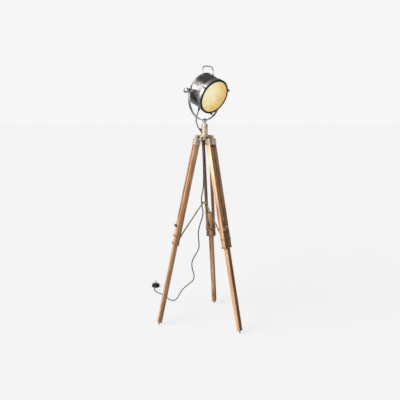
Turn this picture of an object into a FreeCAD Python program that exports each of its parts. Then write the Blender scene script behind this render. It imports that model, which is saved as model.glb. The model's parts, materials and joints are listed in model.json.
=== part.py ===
"""Tripod spotlight floor lamp: wooden tripod, brass hub, yoke and drum spotlight.

All lengths are millimetres and all angles are degrees.  The frame's origin is
on the floor in the middle of the footprint, +Z is up and -Y faces the viewer.
Driving sizes live in the "Sizes" sheet.  Each group of pieces hangs on a named
placement, so a changed size carries everything that sits on it.
"""
import FreeCAD, Part
import math
import os

import Sketcher

os.makedirs("parts", exist_ok=True)
doc = FreeCAD.newDocument("spotlight_lamp")

# ---------------------------------------------------------------------------
# driving sizes: alias, value, what it is
# ---------------------------------------------------------------------------
SIZES = [
    ("mast_x", 31.5, "mast axis, across the frame"),
    ("mast_y", -37.8, "mast axis, along the frame"),
    ("first_leg_azimuth", 46.4, "leg c, turned from the viewer's side"),
    ("leg_spacing", 120.0, "angle between legs"),
    ("splay_angle", 12.216, "leg against the mast"),
    ("hinge_radius", 42.0, "leg hinge from the mast axis"),
    ("hinge_height", 1104.0, "leg hinge above the floor"),
    # hub
    ("hub_above_hinge", 9.0, "top face of the hub casting above the hinges"),
    ("hub_depth", 17.0, "overall depth of the hub casting"),
    ("hub_plate_radius", 46.0, "round top plate"),
    ("hub_plate_depth", 7.0, "thickness of the top plate"),
    ("hub_boss_radius", 24.0, "middle boss"),
    ("ear_thickness", 5.0, "hinge ear"),
    ("ear_reach", 7.0, "ear past the hinge pin"),
    ("ear_root", 17.0, "ear behind the hinge pin"),
    ("tongue_width", 36.0, "hinge tongue of a leg cap"),
    ("tongue_radius", 7.0, "round end of the tongue"),
    ("side_gap", 0.3, "clearance beside moving flat faces"),
    ("running_gap", 0.05, "radial clearance of pins and spindles"),
    ("seat_gap", 0.1, "clearance between fixed pieces"),
    ("hinge_pin_radius", 4.0, "leg hinge bolt"),
    ("hinge_head_radius", 7.0, "bolt head and nut"),
    ("hinge_head_height", 3.6, "bolt head and nut"),
    # post
    ("post_radius", 18.0, "brass post, outside"),
    ("post_wall", 2.5, "brass post wall"),
    ("post_height", 64.0, "top of the post above the hub"),
    ("post_cap_depth", 7.0, "solid top of the post"),
    ("spigot_radius", 14.0, "turned end of the post in the hub"),
    ("spigot_bore", 11.0, "cable way through the spigot"),
    ("spigot_below", 10.0, "lower end of the spigot below the hub"),
    ("ring_nut_radius", 20.0, "nut under the hub"),
    ("clamp_screw_rise", 33.0, "thumb screw on the post above the hub"),
    ("clamp_screw_radius", 2.5, "thumb screw shank"),
    ("clamp_head_radius", 5.5, "thumb screw head"),
    ("clamp_head_length", 8.0, "thumb screw head"),
    ("bush_flange", 3.0, "flange of the cord bush below the spigot"),
    # swivel and yoke
    ("stud_radius", 8.0, "chrome stud of the yoke"),
    ("stud_depth", 36.0, "stud inside the post"),
    ("stud_neck", 11.0, "stud between post and flange"),
    ("flange_radius", 13.5, "flange under the yoke"),
    ("flange_depth", 8.0, "flange under the yoke"),
    ("yoke_screw_radius", 5.0, "screw through the yoke"),
    ("yoke_nut_radius", 10.0, "hexagon nut in the yoke, across corners"),
    ("yoke_nut_height", 6.0, "hexagon nut in the yoke"),
    ("yoke_nut_seat", 0.4, "nut above the lowest line of the curved bar"),
    ("yoke_radius", 122.0, "outside of the round part of the yoke"),
    ("yoke_thickness", 4.0, "flat bar"),
    ("yoke_width", 15.0, "flat bar"),
    ("yoke_straight", 43.0, "straight arm below the tilt pivot"),
    # head
    ("head_azimuth", 45.0, "lens axis, turned from the viewer's side"),
    ("head_pitch", 25.0, "lens axis below level"),
    ("drum_radius", 95.0, "drum, outside"),
    ("drum_wall", 1.5, "drum sheet"),
    ("drum_back", 24.0, "rear rim behind the pivot"),
    ("drum_front", 64.0, "front edge ahead of the pivot"),
    ("rim_radius", 2.2, "rolled rear rim"),
    ("cover_inset", 9.0, "edge of the rear dome inside the drum"),
    ("cover_depth", 33.0, "rear dome"),
    ("bezel_overlap", 4.5, "chrome bezel band outside the drum"),
    ("bezel_back", 56.0, "back of the bezel ahead of the pivot"),
    ("bezel_front", 80.0, "front of the chrome band"),
    ("bezel_wall", 1.8, "bezel sheet"),
    ("gasket_depth", 5.0, "black ring in front of the bezel"),
    ("gasket_side", 4.5, "black ring beside the edge of the lens glass"),
    ("glass_hidden", 3.0, "edge of the lens under the black ring"),
    ("glass_thickness", 3.2, "lens glass"),
    ("glass_crown", 6.0, "rise of the lens in the middle"),
    ("reflector_inset", 4.0, "mouth of the reflector inside the drum"),
    ("reflector_neck", 22.0, "hole at the back of the reflector"),
    ("reflector_back", 6.0, "back of the reflector ahead of the pivot"),
    ("reflector_wall", 1.0, "reflector sheet"),
    ("holder_radius", 19.5, "lampholder"),
    ("holder_length", 34.0, "lampholder"),
    ("bulb_radius", 30.0, "lamp bulb"),
    ("bulb_cap_radius", 13.0, "screw cap of the bulb"),
    ("bracket_width", 24.0, "strap that carries the lampholder"),
    ("bracket_thickness", 2.0, "strap that carries the lampholder"),
    ("pivot_boss_radius", 10.0, "stand-off between drum and yoke"),
    ("pivot_screw_radius", 4.0, "tilt pivot"),
    ("pivot_nut_radius", 10.5, "nut outside the yoke"),
    ("pivot_nut_height", 7.5, "nut outside the yoke"),
    ("knob_radius", 14.0, "tilt knob"),
    ("knob_length", 22.0, "tilt knob"),
    ("handle_half_span", 42.0, "handle foot from the middle"),
    ("handle_rise", 48.0, "handle above its feet, to the rod's middle"),
    ("handle_bend", 24.0, "corner radius of the handle"),
    ("handle_rod_radius", 3.3, "handle rod"),
    ("handle_setback", 14.0, "handle behind the pivot"),
    ("handle_lean", 23.5, "handle against the drum, leaning back"),
    ("handle_shoe_radius", 4.8, "foot of the handle"),
    ("gland_ahead", 2.0, "cable gland ahead of the pivot"),
    ("gland_radius", 8.5, "cable gland"),
    ("gland_length", 26.0, "cable gland below the drum"),
    ("clamp_knob_radius", 4.6, "bezel clamp screw head"),
    ("clamp_knob_length", 11.0, "bezel clamp screw head"),
    ("clamp_block", 9.0, "bezel clamp lug"),
    ("clamp_setback", 11.0, "foot of a bezel clamp screw behind the bezel's front"),
    # legs
    ("cap_drop", 10.5, "top of a leg cap below the hinge"),
    ("cap_length", 34.5, "brass leg cap"),
    ("cap_wall", 1.5, "brass leg cap"),
    ("cap_top", 2.5, "closed top of the leg cap"),
    ("rail_thickness", 13.0, "one rail of the upper leg, across"),
    ("rail_depth", 29.0, "one rail of the upper leg, in and out"),
    ("rail_gap", 26.0, "gap between the two rails"),
    ("rail_end", 631.0, "lower end of the rails from the hinge"),
    ("end_plate_thickness", 2.0, "brass plate under the rails"),
    ("end_skirt", 6.0, "brass skirt round the ends of the rails"),
    ("lower_leg_width", 25.2, "square lower leg"),
    ("lower_leg_top", 480.0, "top of the lower leg from the hinge"),
    ("spike_length", 17.0, "steel spike below the wood"),
    ("spike_radius", 3.25, "steel spike"),
    ("spike_shank", 22.0, "spike inside the wood"),
    ("lock_distance", 521.0, "lock knob from the hinge"),
    ("lock_plate_height", 20.0, "brass plate under the lock knob"),
    ("lock_plate_thickness", 2.0, "brass plate under the lock knob"),
    ("lock_screw_radius", 3.0, "lock knob screw"),
    ("lock_knob_radius", 8.5, "lock knob"),
    ("lock_knob_length", 11.0, "lock knob"),
    # braces
    ("brace_distance", 582.0, "brace pivot from the hinge, along the leg"),
    ("brace_offset", 21.0, "brace pivot inside the leg's middle"),
    ("brace_band_height", 9.0, "brass band that carries a brace"),
    ("brace_band_wall", 1.5, "brass band that carries a brace"),
    ("brace_ear", 3.0, "ear beside the brace rod"),
    ("brace_eye_width", 7.0, "eye at the lower end of a brace"),
    ("brace_eye_radius", 4.6, "eye at the lower end of a brace"),
    ("brace_pin_radius", 2.0, "brace pin"),
    ("brace_rod_radius", 3.6, "brace rod"),
    ("brace_tip_width", 5.0, "flattened upper end of a brace"),
    ("brace_tip_length", 16.0, "flattened upper end of a brace"),
    ("collar_height", 722.0, "brace pivots at the collar, above the floor"),
    ("collar_pivot_radius", 11.0, "brace pivots from the mast axis"),
    ("collar_radius", 15.0, "collar where the braces meet"),
    ("collar_thickness", 10.0, "collar where the braces meet"),
    ("collar_core", 4.0, "solid middle of the collar"),
    # cord and plug
    ("cord_radius", 3.15, "mains cord"),
    ("grommet_radius", 5.5, "rubber grommet in the post"),
    ("grommet_azimuth", 233.7, "grommet, turned from the viewer's side"),
    ("grommet_rise", 42.0, "grommet above level"),
    ("grommet_out", 22.0, "outer end of the grommet from the mast axis"),
    ("plug_width", 54.0, "plug, across"),
    ("plug_length", 50.0, "plug, from cord side to the far side"),
    ("plug_thickness", 19.0, "plug body"),
    ("plug_nose", 10.0, "half width of the plug at the cord"),
    ("plug_cord_height", 7.0, "cord above the floor where it enters the plug"),
    ("pin_half_span", 11.1, "line and neutral pins from the middle"),
    ("pin_rise", 12.0, "earth pin towards the far side"),
    ("plug_x", -316.5, "middle of the plug"),
    ("plug_y", 542.2, "middle of the plug"),
    ("plug_turn", 8.0, "plug turned from facing the viewer"),
]

sheet = doc.addObject("Spreadsheet::Sheet", "Sizes")
for row, (alias, value, note) in enumerate(SIZES, start=1):
    sheet.set(f"A{row}", alias)
    sheet.set(f"B{row}", str(value))
    sheet.setAlias(f"B{row}", alias)
    sheet.set(f"C{row}", note)
doc.recompute()

VALUES = {alias: value for alias, value, _note in SIZES}
DERIVED = {
    "hub_top": "(hinge_height + hub_above_hinge)",
    "post_top": "(hinge_height + hub_above_hinge + post_height)",
    "spigot_bottom": "(hinge_height + hub_above_hinge - hub_depth - spigot_below)",
    "clamp_screw_height": "(hinge_height + hub_above_hinge + clamp_screw_rise)",
    "cover_radius": "(drum_radius - cover_inset)",
    "bezel_radius": "(drum_radius + bezel_overlap)",
    "glass_radius": "(drum_radius + bezel_overlap - gasket_side)",
    "glass_window": "(drum_radius + bezel_overlap - gasket_side - glass_hidden)",
    "reflector_radius": "(drum_radius - reflector_inset)",
}
workings = doc.addObject("Spreadsheet::Sheet", "Workings")


def cells(formula):
    """Write the sheet's name in front of every alias that a formula uses."""
    for short, whole in DERIVED.items():
        formula = formula.replace(short, whole)
    pieces, word = [], ""
    for letter in formula + " ":
        if letter.isalnum() or letter == "_":
            word += letter
            continue
        pieces.append("Sizes." + word if word in VALUES else word)
        pieces.append(letter)
        word = ""
    return "".join(pieces).strip()


def value(formula):
    """The number that a formula of aliases has now."""
    workings.set("A1", "=" + cells(formula))
    workings.recompute()
    return float(workings.get("A1"))


class Frame:
    """A named placement that a group of pieces hangs on."""

    def __init__(self, name, base, x="0", y="0", z="0", yaw="0", pitch="0", roll="0"):
        self.marker = doc.addObject("App::Placement", name)
        self.marker.Label = name
        formula = placement_formula(x, y, z, yaw, pitch, roll)
        if base is not None:
            formula = f"{base.marker.Name}.Placement * {formula}"
        self.marker.setExpression("Placement", formula)


def placement_formula(x="0", y="0", z="0", yaw="0", pitch="0", roll="0"):
    """A placement as a formula of the sheet's aliases."""
    base = f"create(<<vector>>; {cells(x)}; {cells(y)}; {cells(z)})"
    turn = f"create(<<rotation>>; {cells(yaw)}; {cells(pitch)}; {cells(roll)})"
    return f"create(<<placement>>; {base}; {turn})"


def place(piece, x="0", y="0", z="0", yaw="0", pitch="0", roll="0", frame=None):
    """Set a piece down in its frame, or in its own local axes without one."""
    formula = placement_formula(x, y, z, yaw, pitch, roll)
    if frame is not None:
        formula = f"{frame.marker.Name}.Placement * {formula}"
    piece.setExpression("Placement", formula)
    return piece


def bind(piece, **formulas):
    """Bind the properties of an object to formulas of the sheet's aliases."""
    for name, formula in formulas.items():
        piece.setExpression(name, cells(formula))
    return piece


def cylinder(name, radius, height, x="0", y="0", z="0", yaw="0", pitch="0", roll="0"):
    """A cylinder that stands on its local origin."""
    piece = bind(doc.addObject("Part::Cylinder", name), Radius=radius, Height=height)
    return place(piece, x, y, z, yaw, pitch, roll)


def cylinder_x(name, radius, start, length, y="0", z="0"):
    """A cylinder along local X that starts at a given X."""
    return cylinder(name, radius, length, start, y, z, pitch="90")


def cylinder_y(name, radius, length, x="0", z="0"):
    """A cylinder along local Y, centred on the local XZ plane."""
    return cylinder(name, radius, length, x, f"({length}) / 2", z, roll="90")


def block(name, length, width, height, x="0", y="0", z="0"):
    """A box centred on X and Y whose base is at z."""
    piece = bind(doc.addObject("Part::Box", name), Length=length, Width=width, Height=height)
    return place(piece, f"{x} - ({length}) / 2", f"{y} - ({width}) / 2", z)


def fuse(name, pieces):
    """One solid from several that touch or overlap."""
    joined = doc.addObject("Part::MultiFuse", name)
    joined.Shapes = pieces
    joined.Refine = True
    return joined


def group(name, pieces):
    """Separate solids kept as one node."""
    together = doc.addObject("Part::Compound", name)
    together.Links = pieces
    return together


def cut(name, base, tools):
    """A piece with others taken out of it."""
    tool = tools[0] if len(tools) == 1 else group(name + "_tools", tools)
    result = doc.addObject("Part::Cut", name)
    result.Base = base
    result.Tool = tool
    result.Refine = True
    return result


def origin_plane(body, role):
    """An origin plane of a body."""
    return [item for item in body.Origin.OriginFeatures if item.Role == role][0]


def outline_sketch(body, name, plane, corners):
    """A closed outline whose corners are formulas, bound one by one."""
    sketch = body.newObject("Sketcher::SketchObject", name)
    sketch.AttachmentSupport = [(origin_plane(body, plane), "")]
    sketch.MapMode = "FlatFace"
    # the first drawing uses rough places that keep the corners in their order
    rough = [FreeCAD.Vector(value(across), value(up), 0) for across, up in corners]
    count = len(corners)
    for index in range(count):
        sketch.addGeometry(Part.LineSegment(rough[index], rough[(index + 1) % count]), False)
    for index in range(count):
        sketch.addConstraint(Sketcher.Constraint("Coincident", index, 2, (index + 1) % count, 1))
    for index, (across, up) in enumerate(corners):
        for kind, formula, place_now in (("DistanceX", across, rough[index].x),
                                         ("DistanceY", up, rough[index].y)):
            number = sketch.addConstraint(
                Sketcher.Constraint(kind, -1, 1, index, 1, place_now))
            label = f"{kind.lower()}_{index}"
            sketch.renameConstraint(number, label)
            sketch.setExpression(f"Constraints.{label}", cells(formula))
    return sketch


def turned(name, corners):
    """A piece turned on a lathe about local Z: corners are (radius, height)."""
    body = doc.addObject("PartDesign::Body", name)
    sketch = outline_sketch(body, name + "_profile", "XZ_Plane", corners)
    lathe = body.newObject("PartDesign::Revolution", name + "_turned")
    lathe.Profile = sketch
    lathe.ReferenceAxis = (sketch, ["V_Axis"])
    lathe.Angle = 360
    return body


def prism(name, corners, height):
    """A plate cut to an outline in local XY and padded along Z."""
    body = doc.addObject("PartDesign::Body", name)
    sketch = outline_sketch(body, name + "_outline", "XY_Plane", corners)
    pad = body.newObject("PartDesign::Pad", name + "_pad")
    pad.Profile = sketch
    pad.setExpression("Length", cells(height))
    return body


# ---------------------------------------------------------------------------
# frames
# ---------------------------------------------------------------------------
STAND = Frame("StandFrame", None, "mast_x", "mast_y")
PIVOT_HEIGHT = "(post_top + stud_neck + flange_depth + yoke_radius + yoke_straight)"
YOKE = Frame("YokeFrame", STAND, z=PIVOT_HEIGHT, yaw="head_azimuth")
HEAD = Frame("HeadFrame", YOKE, roll="90 + head_pitch")
DRUM_DOWN = Frame("DrumDownFrame", HEAD, z="gland_ahead", roll="90")
LEG_NAMES = ("a", "b", "c")
LEG_TURNS = {"a": "first_leg_azimuth + 2 * leg_spacing",
             "b": "first_leg_azimuth + leg_spacing",
             "c": "first_leg_azimuth"}
# the brace pivot on a leg, as radius and height about the mast
BRACE_RADIUS = ("(hinge_radius + brace_distance * sin(splay_angle)"
                " - brace_offset * cos(splay_angle))")
BRACE_HEIGHT = ("(hinge_height - brace_distance * cos(splay_angle)"
                " - brace_offset * sin(splay_angle))")
BRACE_ACROSS = f"({BRACE_RADIUS} - collar_pivot_radius)"
BRACE_UP = f"(collar_height - {BRACE_HEIGHT})"
BRACE_ANGLE = f"(atan({BRACE_ACROSS} / {BRACE_UP}) / 1deg)"
BRACE_LENGTH = f"sqrt({BRACE_ACROSS} ^ 2 + {BRACE_UP} ^ 2)"
LEG_LENGTH = "(hinge_height / cos(splay_angle))"

LEGS, BRACES, TURNS = {}, {}, {}
for leg in LEG_NAMES:
    TURNS[leg] = Frame(f"TurnFrame_{leg}", STAND, yaw=f"{LEG_TURNS[leg]} - 90")
    LEGS[leg] = Frame(f"LegFrame_{leg}", TURNS[leg], "hinge_radius", z="hinge_height",
                      pitch="-splay_angle")
    BRACES[leg] = Frame(f"BraceFrame_{leg}", LEGS[leg], "-brace_offset",
                        z="-brace_distance", pitch=f"splay_angle - {BRACE_ANGLE}")

NODES = []


def node(piece, frame, body_name, x="0", y="0", z="0", yaw="0", pitch="0", roll="0"):
    """Name a finished piece, set it in its frame and list it for writing."""
    piece.Label = body_name
    place(piece, x, y, z, yaw, pitch, roll, frame)
    NODES.append(piece)
    return piece


# ---------------------------------------------------------------------------
# hub
# ---------------------------------------------------------------------------
HUB_BOTTOM = "(hub_top - hub_depth)"
SLOT_START = "(hinge_radius - tongue_radius - 1.5)"
EAR_OUT = "(hinge_radius + ear_reach)"
EAR_IN = "(hinge_radius - ear_root)"
EAR_SPAN = "(tongue_width + 2 * side_gap + 2 * ear_thickness)"


def hub_casting():
    """Round plate with a middle boss and three pairs of hinge ears."""
    solid = [cylinder("hub_plate", "hub_plate_radius", "hub_plate_depth",
                      z="hub_top - hub_plate_depth"),
             cylinder("hub_boss", "hub_boss_radius", "hub_depth", z=HUB_BOTTOM)]
    taken = [cylinder("hub_bore", "spigot_radius + running_gap", "hub_depth + 2",
                      z=f"{HUB_BOTTOM} - 1")]
    for leg in LEG_NAMES:
        turn = f"{LEG_TURNS[leg]} - 90"
        pair = cut(f"hub_ears_{leg}",
                   block(f"hub_ear_block_{leg}", f"{EAR_OUT} - {EAR_IN}", EAR_SPAN, "hub_depth",
                         x=f"({EAR_OUT} + {EAR_IN}) / 2", z=HUB_BOTTOM),
                   [block(f"hub_ear_space_{leg}", f"{EAR_OUT} - {EAR_IN} + 2",
                          "tongue_width + 2 * side_gap", "hub_depth",
                          x=f"({EAR_OUT} + {EAR_IN}) / 2",
                          z=f"{HUB_BOTTOM} - hub_plate_depth")])
        solid.append(place(pair, yaw=turn))
        slot = block(f"hub_slot_{leg}", "hub_plate_radius", "tongue_width + 2 * side_gap",
                     "hub_depth + 2", x=f"{SLOT_START} + hub_plate_radius / 2",
                     z=f"{HUB_BOTTOM} - 1")
        pin_hole = cylinder_y(f"hub_pin_hole_{leg}", "hinge_pin_radius + seat_gap / 2",
                              f"{EAR_SPAN} + 20", "hinge_radius", "hinge_height")
        seats = [cylinder(f"hub_head_seat_{leg}", "hinge_head_radius + 1", "10",
                          "hinge_radius", f"{EAR_SPAN} / 2 + 10", "hinge_height", roll="90"),
                 cylinder(f"hub_nut_seat_{leg}", "hinge_head_radius + 1", "10",
                          "hinge_radius", f"-{EAR_SPAN} / 2", "hinge_height", roll="90")]
        taken.append(place(group(f"hub_cuts_{leg}", [slot, pin_hole] + seats), yaw=turn))
    return cut("hub_casting", fuse("hub_solid", solid), taken)


def hinge_bolts():
    """The three bolts of the leg hinges, each with its head and nut."""
    bolts = []
    for leg in LEG_NAMES:
        length = f"({EAR_SPAN} + 2 * hinge_head_height)"
        shank = cylinder_y(f"hinge_shank_{leg}", "hinge_pin_radius", length)
        ends = []
        for side, start in (("head", f"{EAR_SPAN} / 2"),
                            ("nut", f"-{EAR_SPAN} / 2 - hinge_head_height")):
            ends.append(cylinder(f"hinge_{side}_{leg}", "hinge_head_radius",
                                 "hinge_head_height", y=f"{start} + hinge_head_height",
                                 roll="90"))
        bolt = fuse(f"hinge_bolt_{leg}", [shank] + ends)
        place(bolt, f"hinge_radius * cos({LEG_TURNS[leg]} - 90)",
              f"hinge_radius * sin({LEG_TURNS[leg]} - 90)", "hinge_height",
              yaw=f"{LEG_TURNS[leg]} - 90")
        bolts.append(bolt)
    return group("hinge_bolts", bolts)


node(hub_casting(), STAND, "hub_casting")
node(hinge_bolts(), STAND, "hinge_bolts")

# ---------------------------------------------------------------------------
# post, its nut and the cord's way through
# ---------------------------------------------------------------------------
SHOULDER = "(hub_top + side_gap)"
POST_CAP = "(post_top - post_cap_depth)"
GROMMET_TURN = "(grommet_azimuth - 90)"
GROMMET_HEIGHT = "(hub_top - 2)"


def post_tube():
    """Brass tube with a solid top and a turned spigot that runs in the hub."""
    tube = turned("post_blank", [
        ("spigot_bore", "spigot_bottom"), ("spigot_radius", "spigot_bottom"),
        ("spigot_radius", SHOULDER), ("post_radius", SHOULDER),
        ("post_radius", "post_top"), ("stud_radius", "post_top"),
        ("stud_radius", POST_CAP), ("post_radius - post_wall", POST_CAP),
        ("post_radius - post_wall", f"{SHOULDER} + 4"), ("spigot_bore", f"{SHOULDER} + 4")])
    screw_hole = cylinder_x("post_screw_hole", "clamp_screw_radius + running_gap",
                            "-post_radius - 5", "post_radius", z="clamp_screw_height")
    cord_hole = cylinder("post_cord_hole", "grommet_radius", "2 * post_radius",
                         z=GROMMET_HEIGHT, yaw=GROMMET_TURN, pitch="90 - grommet_rise")
    return cut("post_tube", tube, [screw_hole, cord_hole])


def cord_grommet():
    """Rubber grommet in the side of the post, shaped to the tube inside."""
    sleeve = cylinder("grommet_sleeve", "grommet_radius", "grommet_out / cos(grommet_rise)",
                      z=GROMMET_HEIGHT, yaw=GROMMET_TURN, pitch="90 - grommet_rise")
    inside = cylinder("grommet_inside", "post_radius - post_wall - 1", "60",
                      z=f"{GROMMET_HEIGHT} - 20")
    return cut("cord_grommet", sleeve, [inside])


node(post_tube(), STAND, "post_tube")
node(cord_grommet(), STAND, "cord_grommet")

ring_nut = turned("post_ring_nut", [
    ("spigot_radius", "spigot_bottom"), ("ring_nut_radius", "spigot_bottom"),
    ("ring_nut_radius", f"{HUB_BOTTOM} - side_gap"), ("spigot_radius", f"{HUB_BOTTOM} - side_gap")])
node(ring_nut, STAND, "post_ring_nut")

cord_bush = turned("cord_bush", [
    ("cord_radius + side_gap", "spigot_bottom - bush_flange"),
    ("ring_nut_radius - 5", "spigot_bottom - bush_flange"),
    ("ring_nut_radius - 5", "spigot_bottom"), ("spigot_bore", "spigot_bottom"),
    ("spigot_bore", "spigot_bottom + 8"), ("cord_radius + side_gap", "spigot_bottom + 8")])
node(cord_bush, STAND, "cord_bush")

screw_start = "(stud_radius + side_gap)"
clamp_screw = fuse("post_clamp_screw", [
    cylinder("clamp_shank", "clamp_screw_radius",
             f"post_radius + 3 - {screw_start}", z=screw_start),
    cylinder("clamp_collar", "clamp_screw_radius + 1.5", "3", z="post_radius + side_gap"),
    cylinder("clamp_head", "clamp_head_radius", "clamp_head_length", z="post_radius + 3"),
])
node(clamp_screw, STAND, "post_clamp_screw", z="clamp_screw_height", pitch="-90")

# ---------------------------------------------------------------------------
# yoke and its stud
# ---------------------------------------------------------------------------
YOKE_BASE = "(post_top + stud_neck + flange_depth)"
NUT_SEAT = f"({YOKE_BASE} + yoke_thickness + yoke_nut_seat)"
STUD_TOP = f"({NUT_SEAT} + yoke_nut_height + 1)"
yoke_stud = turned("yoke_stud", [
    ("0", "post_top - stud_depth"), ("stud_radius", "post_top - stud_depth"),
    ("stud_radius", "post_top + stud_neck"), ("flange_radius", "post_top + stud_neck"),
    ("flange_radius", YOKE_BASE), ("yoke_screw_radius", YOKE_BASE),
    ("yoke_screw_radius", STUD_TOP), ("0", STUD_TOP)])
node(yoke_stud, STAND, "yoke_stud")


def hexagon(name, corner_radius, height, bore):
    """A hexagon nut on local Z with a plain bore."""
    corners = [(f"({corner_radius}) * cos({60 * side})", f"({corner_radius}) * sin({60 * side})")
               for side in range(6)]
    return cut(name, prism(name + "_blank", corners, height),
               [cylinder(name + "_bore", bore, f"({height}) + 2", z="-1")])


node(hexagon("yoke_nut", "yoke_nut_radius", "yoke_nut_height", "yoke_screw_radius"), STAND,
     "yoke_nut", z=NUT_SEAT, yaw="head_azimuth")

ARM_MIDDLE = "(yoke_radius - yoke_thickness / 2)"


def yoke_bar():
    """Flat bar bent to a U, with rounded ends drilled for the tilt pivot."""
    ring = cut("yoke_ring", cylinder_y("yoke_outside", "yoke_radius", "yoke_width"),
               [cylinder_y("yoke_inside", "yoke_radius - yoke_thickness", "yoke_width + 2"),
                block("yoke_upper", "2 * yoke_radius + 2", "yoke_width + 2", "yoke_radius + 1")])
    place(ring, z="-yoke_straight")
    solid, holes = [ring], []
    for side, sign in (("near", "-1"), ("far", "1")):
        solid.append(block(f"yoke_arm_{side}", "yoke_thickness", "yoke_width", "yoke_straight",
                           x=f"{sign} * {ARM_MIDDLE}", z="-yoke_straight"))
        solid.append(cylinder_x(f"yoke_end_{side}", "yoke_width / 2",
                                f"{sign} * {ARM_MIDDLE} - yoke_thickness / 2", "yoke_thickness"))
        holes.append(cylinder_x(f"yoke_eye_{side}", "pivot_screw_radius + running_gap",
                                f"{sign} * {ARM_MIDDLE} - yoke_thickness", "2 * yoke_thickness"))
    holes.append(cylinder("yoke_middle_hole", "yoke_screw_radius", "4 * yoke_thickness",
                          z="-yoke_radius - yoke_straight - yoke_thickness"))
    return cut("yoke", fuse("yoke_solid", solid), holes)


node(yoke_bar(), YOKE, "yoke")

# ---------------------------------------------------------------------------
# drum, bezel and lens
# ---------------------------------------------------------------------------
DRUM_INSIDE = "(drum_radius - drum_wall)"


def drum_space(name):
    """The drum's outside as a cutter, for pieces that sit on it."""
    return cylinder(name, "drum_radius", "3 * drum_radius", z="-1.5 * drum_radius")


def drum_shell():
    """Sheet drum, open at both ends, with a rolled rear rim."""
    tube = turned("drum_sheet", [
        (DRUM_INSIDE, "-drum_back"), ("drum_radius", "-drum_back"),
        ("drum_radius", "drum_front"), (DRUM_INSIDE, "drum_front")])
    rim = bind(doc.addObject("Part::Torus", "drum_rim"),
               Radius1="drum_radius", Radius2="rim_radius")
    place(rim, z="-drum_back + rim_radius")
    return cut("drum_shell", fuse("drum_solid", [tube, rim]),
               [cylinder("drum_clearance", DRUM_INSIDE, "drum_back + drum_front",
                         z="-drum_back - 1")])


def ellipse_point(radius, depth, angle, offset="0"):
    """A corner of a quarter ellipse, as a pair of formulas."""
    return (f"({radius}) * cos({angle})", f"({offset}) - ({depth}) * sin({angle})")


def rear_cover():
    """Shallow dome with a flange inside the drum's rear rim."""
    steps = [0, 15, 30, 45, 60, 75]
    outer = [ellipse_point("cover_radius", "cover_depth", turn, "-drum_back")
             for turn in steps]
    inner = [ellipse_point("cover_radius - drum_wall", "cover_depth - drum_wall", turn,
                           "-drum_back") for turn in reversed(steps)]
    flange = [("cover_radius - drum_wall", "-drum_back + drum_wall"),
              (f"{DRUM_INSIDE} - seat_gap", "-drum_back + drum_wall"),
              (f"{DRUM_INSIDE} - seat_gap", "-drum_back")]
    return turned("rear_cover", outer + [
        ("0", "-drum_back - cover_depth"), ("0", "-drum_back - cover_depth + drum_wall")]
        + inner + flange)


node(drum_shell(), HEAD, "drum_shell")
node(rear_cover(), HEAD, "rear_cover")

node(turned("bezel_ring", [
    ("drum_radius + seat_gap", "bezel_back"), ("bezel_radius", "bezel_back"),
    ("bezel_radius", "bezel_front"), ("reflector_radius + 1", "bezel_front"),
    ("reflector_radius + 1", "bezel_front - bezel_wall"),
    ("bezel_radius - bezel_wall", "bezel_front - bezel_wall"),
    ("bezel_radius - bezel_wall", "bezel_back + bezel_wall"),
    ("drum_radius + seat_gap", "bezel_back + bezel_wall")]), HEAD, "bezel_ring")

GLASS_BACK = "(bezel_front + seat_gap)"
node(turned("lens_gasket", [
    ("glass_radius + seat_gap", "bezel_front"), ("bezel_radius + 0.5", "bezel_front"),
    ("bezel_radius + 0.5", "bezel_front + gasket_depth"),
    ("glass_window", "bezel_front + gasket_depth"),
    ("glass_window", f"{GLASS_BACK} + glass_thickness"),
    ("glass_radius + seat_gap", f"{GLASS_BACK} + glass_thickness")]), HEAD, "lens_gasket")


def lens_glass():
    """Round glass, flat at its edge and crowned in the middle."""
    inset = "(glass_window - 1)"
    steps = [15, 30, 45, 60, 75]
    front = [(f"{inset} * sin({90 - turn})",
              f"{GLASS_BACK} + glass_thickness + glass_crown * sin({turn})") for turn in steps]
    back = [(f"{inset} * sin({90 - turn})", f"{GLASS_BACK} + glass_crown * sin({turn})")
            for turn in reversed(steps)]
    return turned("lens_glass", [
        (inset, GLASS_BACK), ("glass_radius", GLASS_BACK),
        ("glass_radius", f"{GLASS_BACK} + glass_thickness"),
        (inset, f"{GLASS_BACK} + glass_thickness")] + front + [
        ("0", f"{GLASS_BACK} + glass_thickness + glass_crown"),
        ("0", f"{GLASS_BACK} + glass_crown")] + back)


node(lens_glass(), HEAD, "lens_glass")


def bezel_clamps():
    """Three lugs with thumb screws round the bezel."""
    clamps = []
    for number, turn in enumerate((22, 152, 282)):
        lug = cut(f"clamp_lug_{number}",
                  block(f"clamp_block_{number}", "clamp_block", "clamp_block", "clamp_block",
                        x="bezel_radius + clamp_block / 2 - 1", z="bezel_front - 14"),
                  [cylinder(f"clamp_seat_{number}", "bezel_radius", "40", z="bezel_front - 30")])
        screw = cylinder(f"clamp_shaft_{number}", "2", "clamp_block + 2")
        head = cylinder(f"clamp_knob_{number}", "clamp_knob_radius", "clamp_knob_length",
                        z="clamp_block")
        thumb = fuse(f"clamp_thumb_{number}", [screw, head])
        place(thumb, "bezel_radius + clamp_knob_radius + 1", "0", "bezel_front - clamp_setback")
        clamp = fuse(f"clamp_{number}", [lug, thumb])
        clamps.append(place(clamp, yaw=str(turn)))
    return group("bezel_clamps", clamps)


node(bezel_clamps(), HEAD, "bezel_clamps")

# ---------------------------------------------------------------------------
# reflector, lampholder and bulb
# ---------------------------------------------------------------------------
REFLECTOR_FRONT = "(bezel_front - bezel_wall - side_gap)"


def bowl_point(share, wall="0"):
    """A corner of the reflector: radius grows as the root of the depth."""
    deep = f"({REFLECTOR_FRONT} - bezel_wall - reflector_back)"
    return (f"reflector_neck + (reflector_radius - reflector_neck) * sqrt({share}) + {wall}",
            f"reflector_back + {deep} * {share}")


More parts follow.
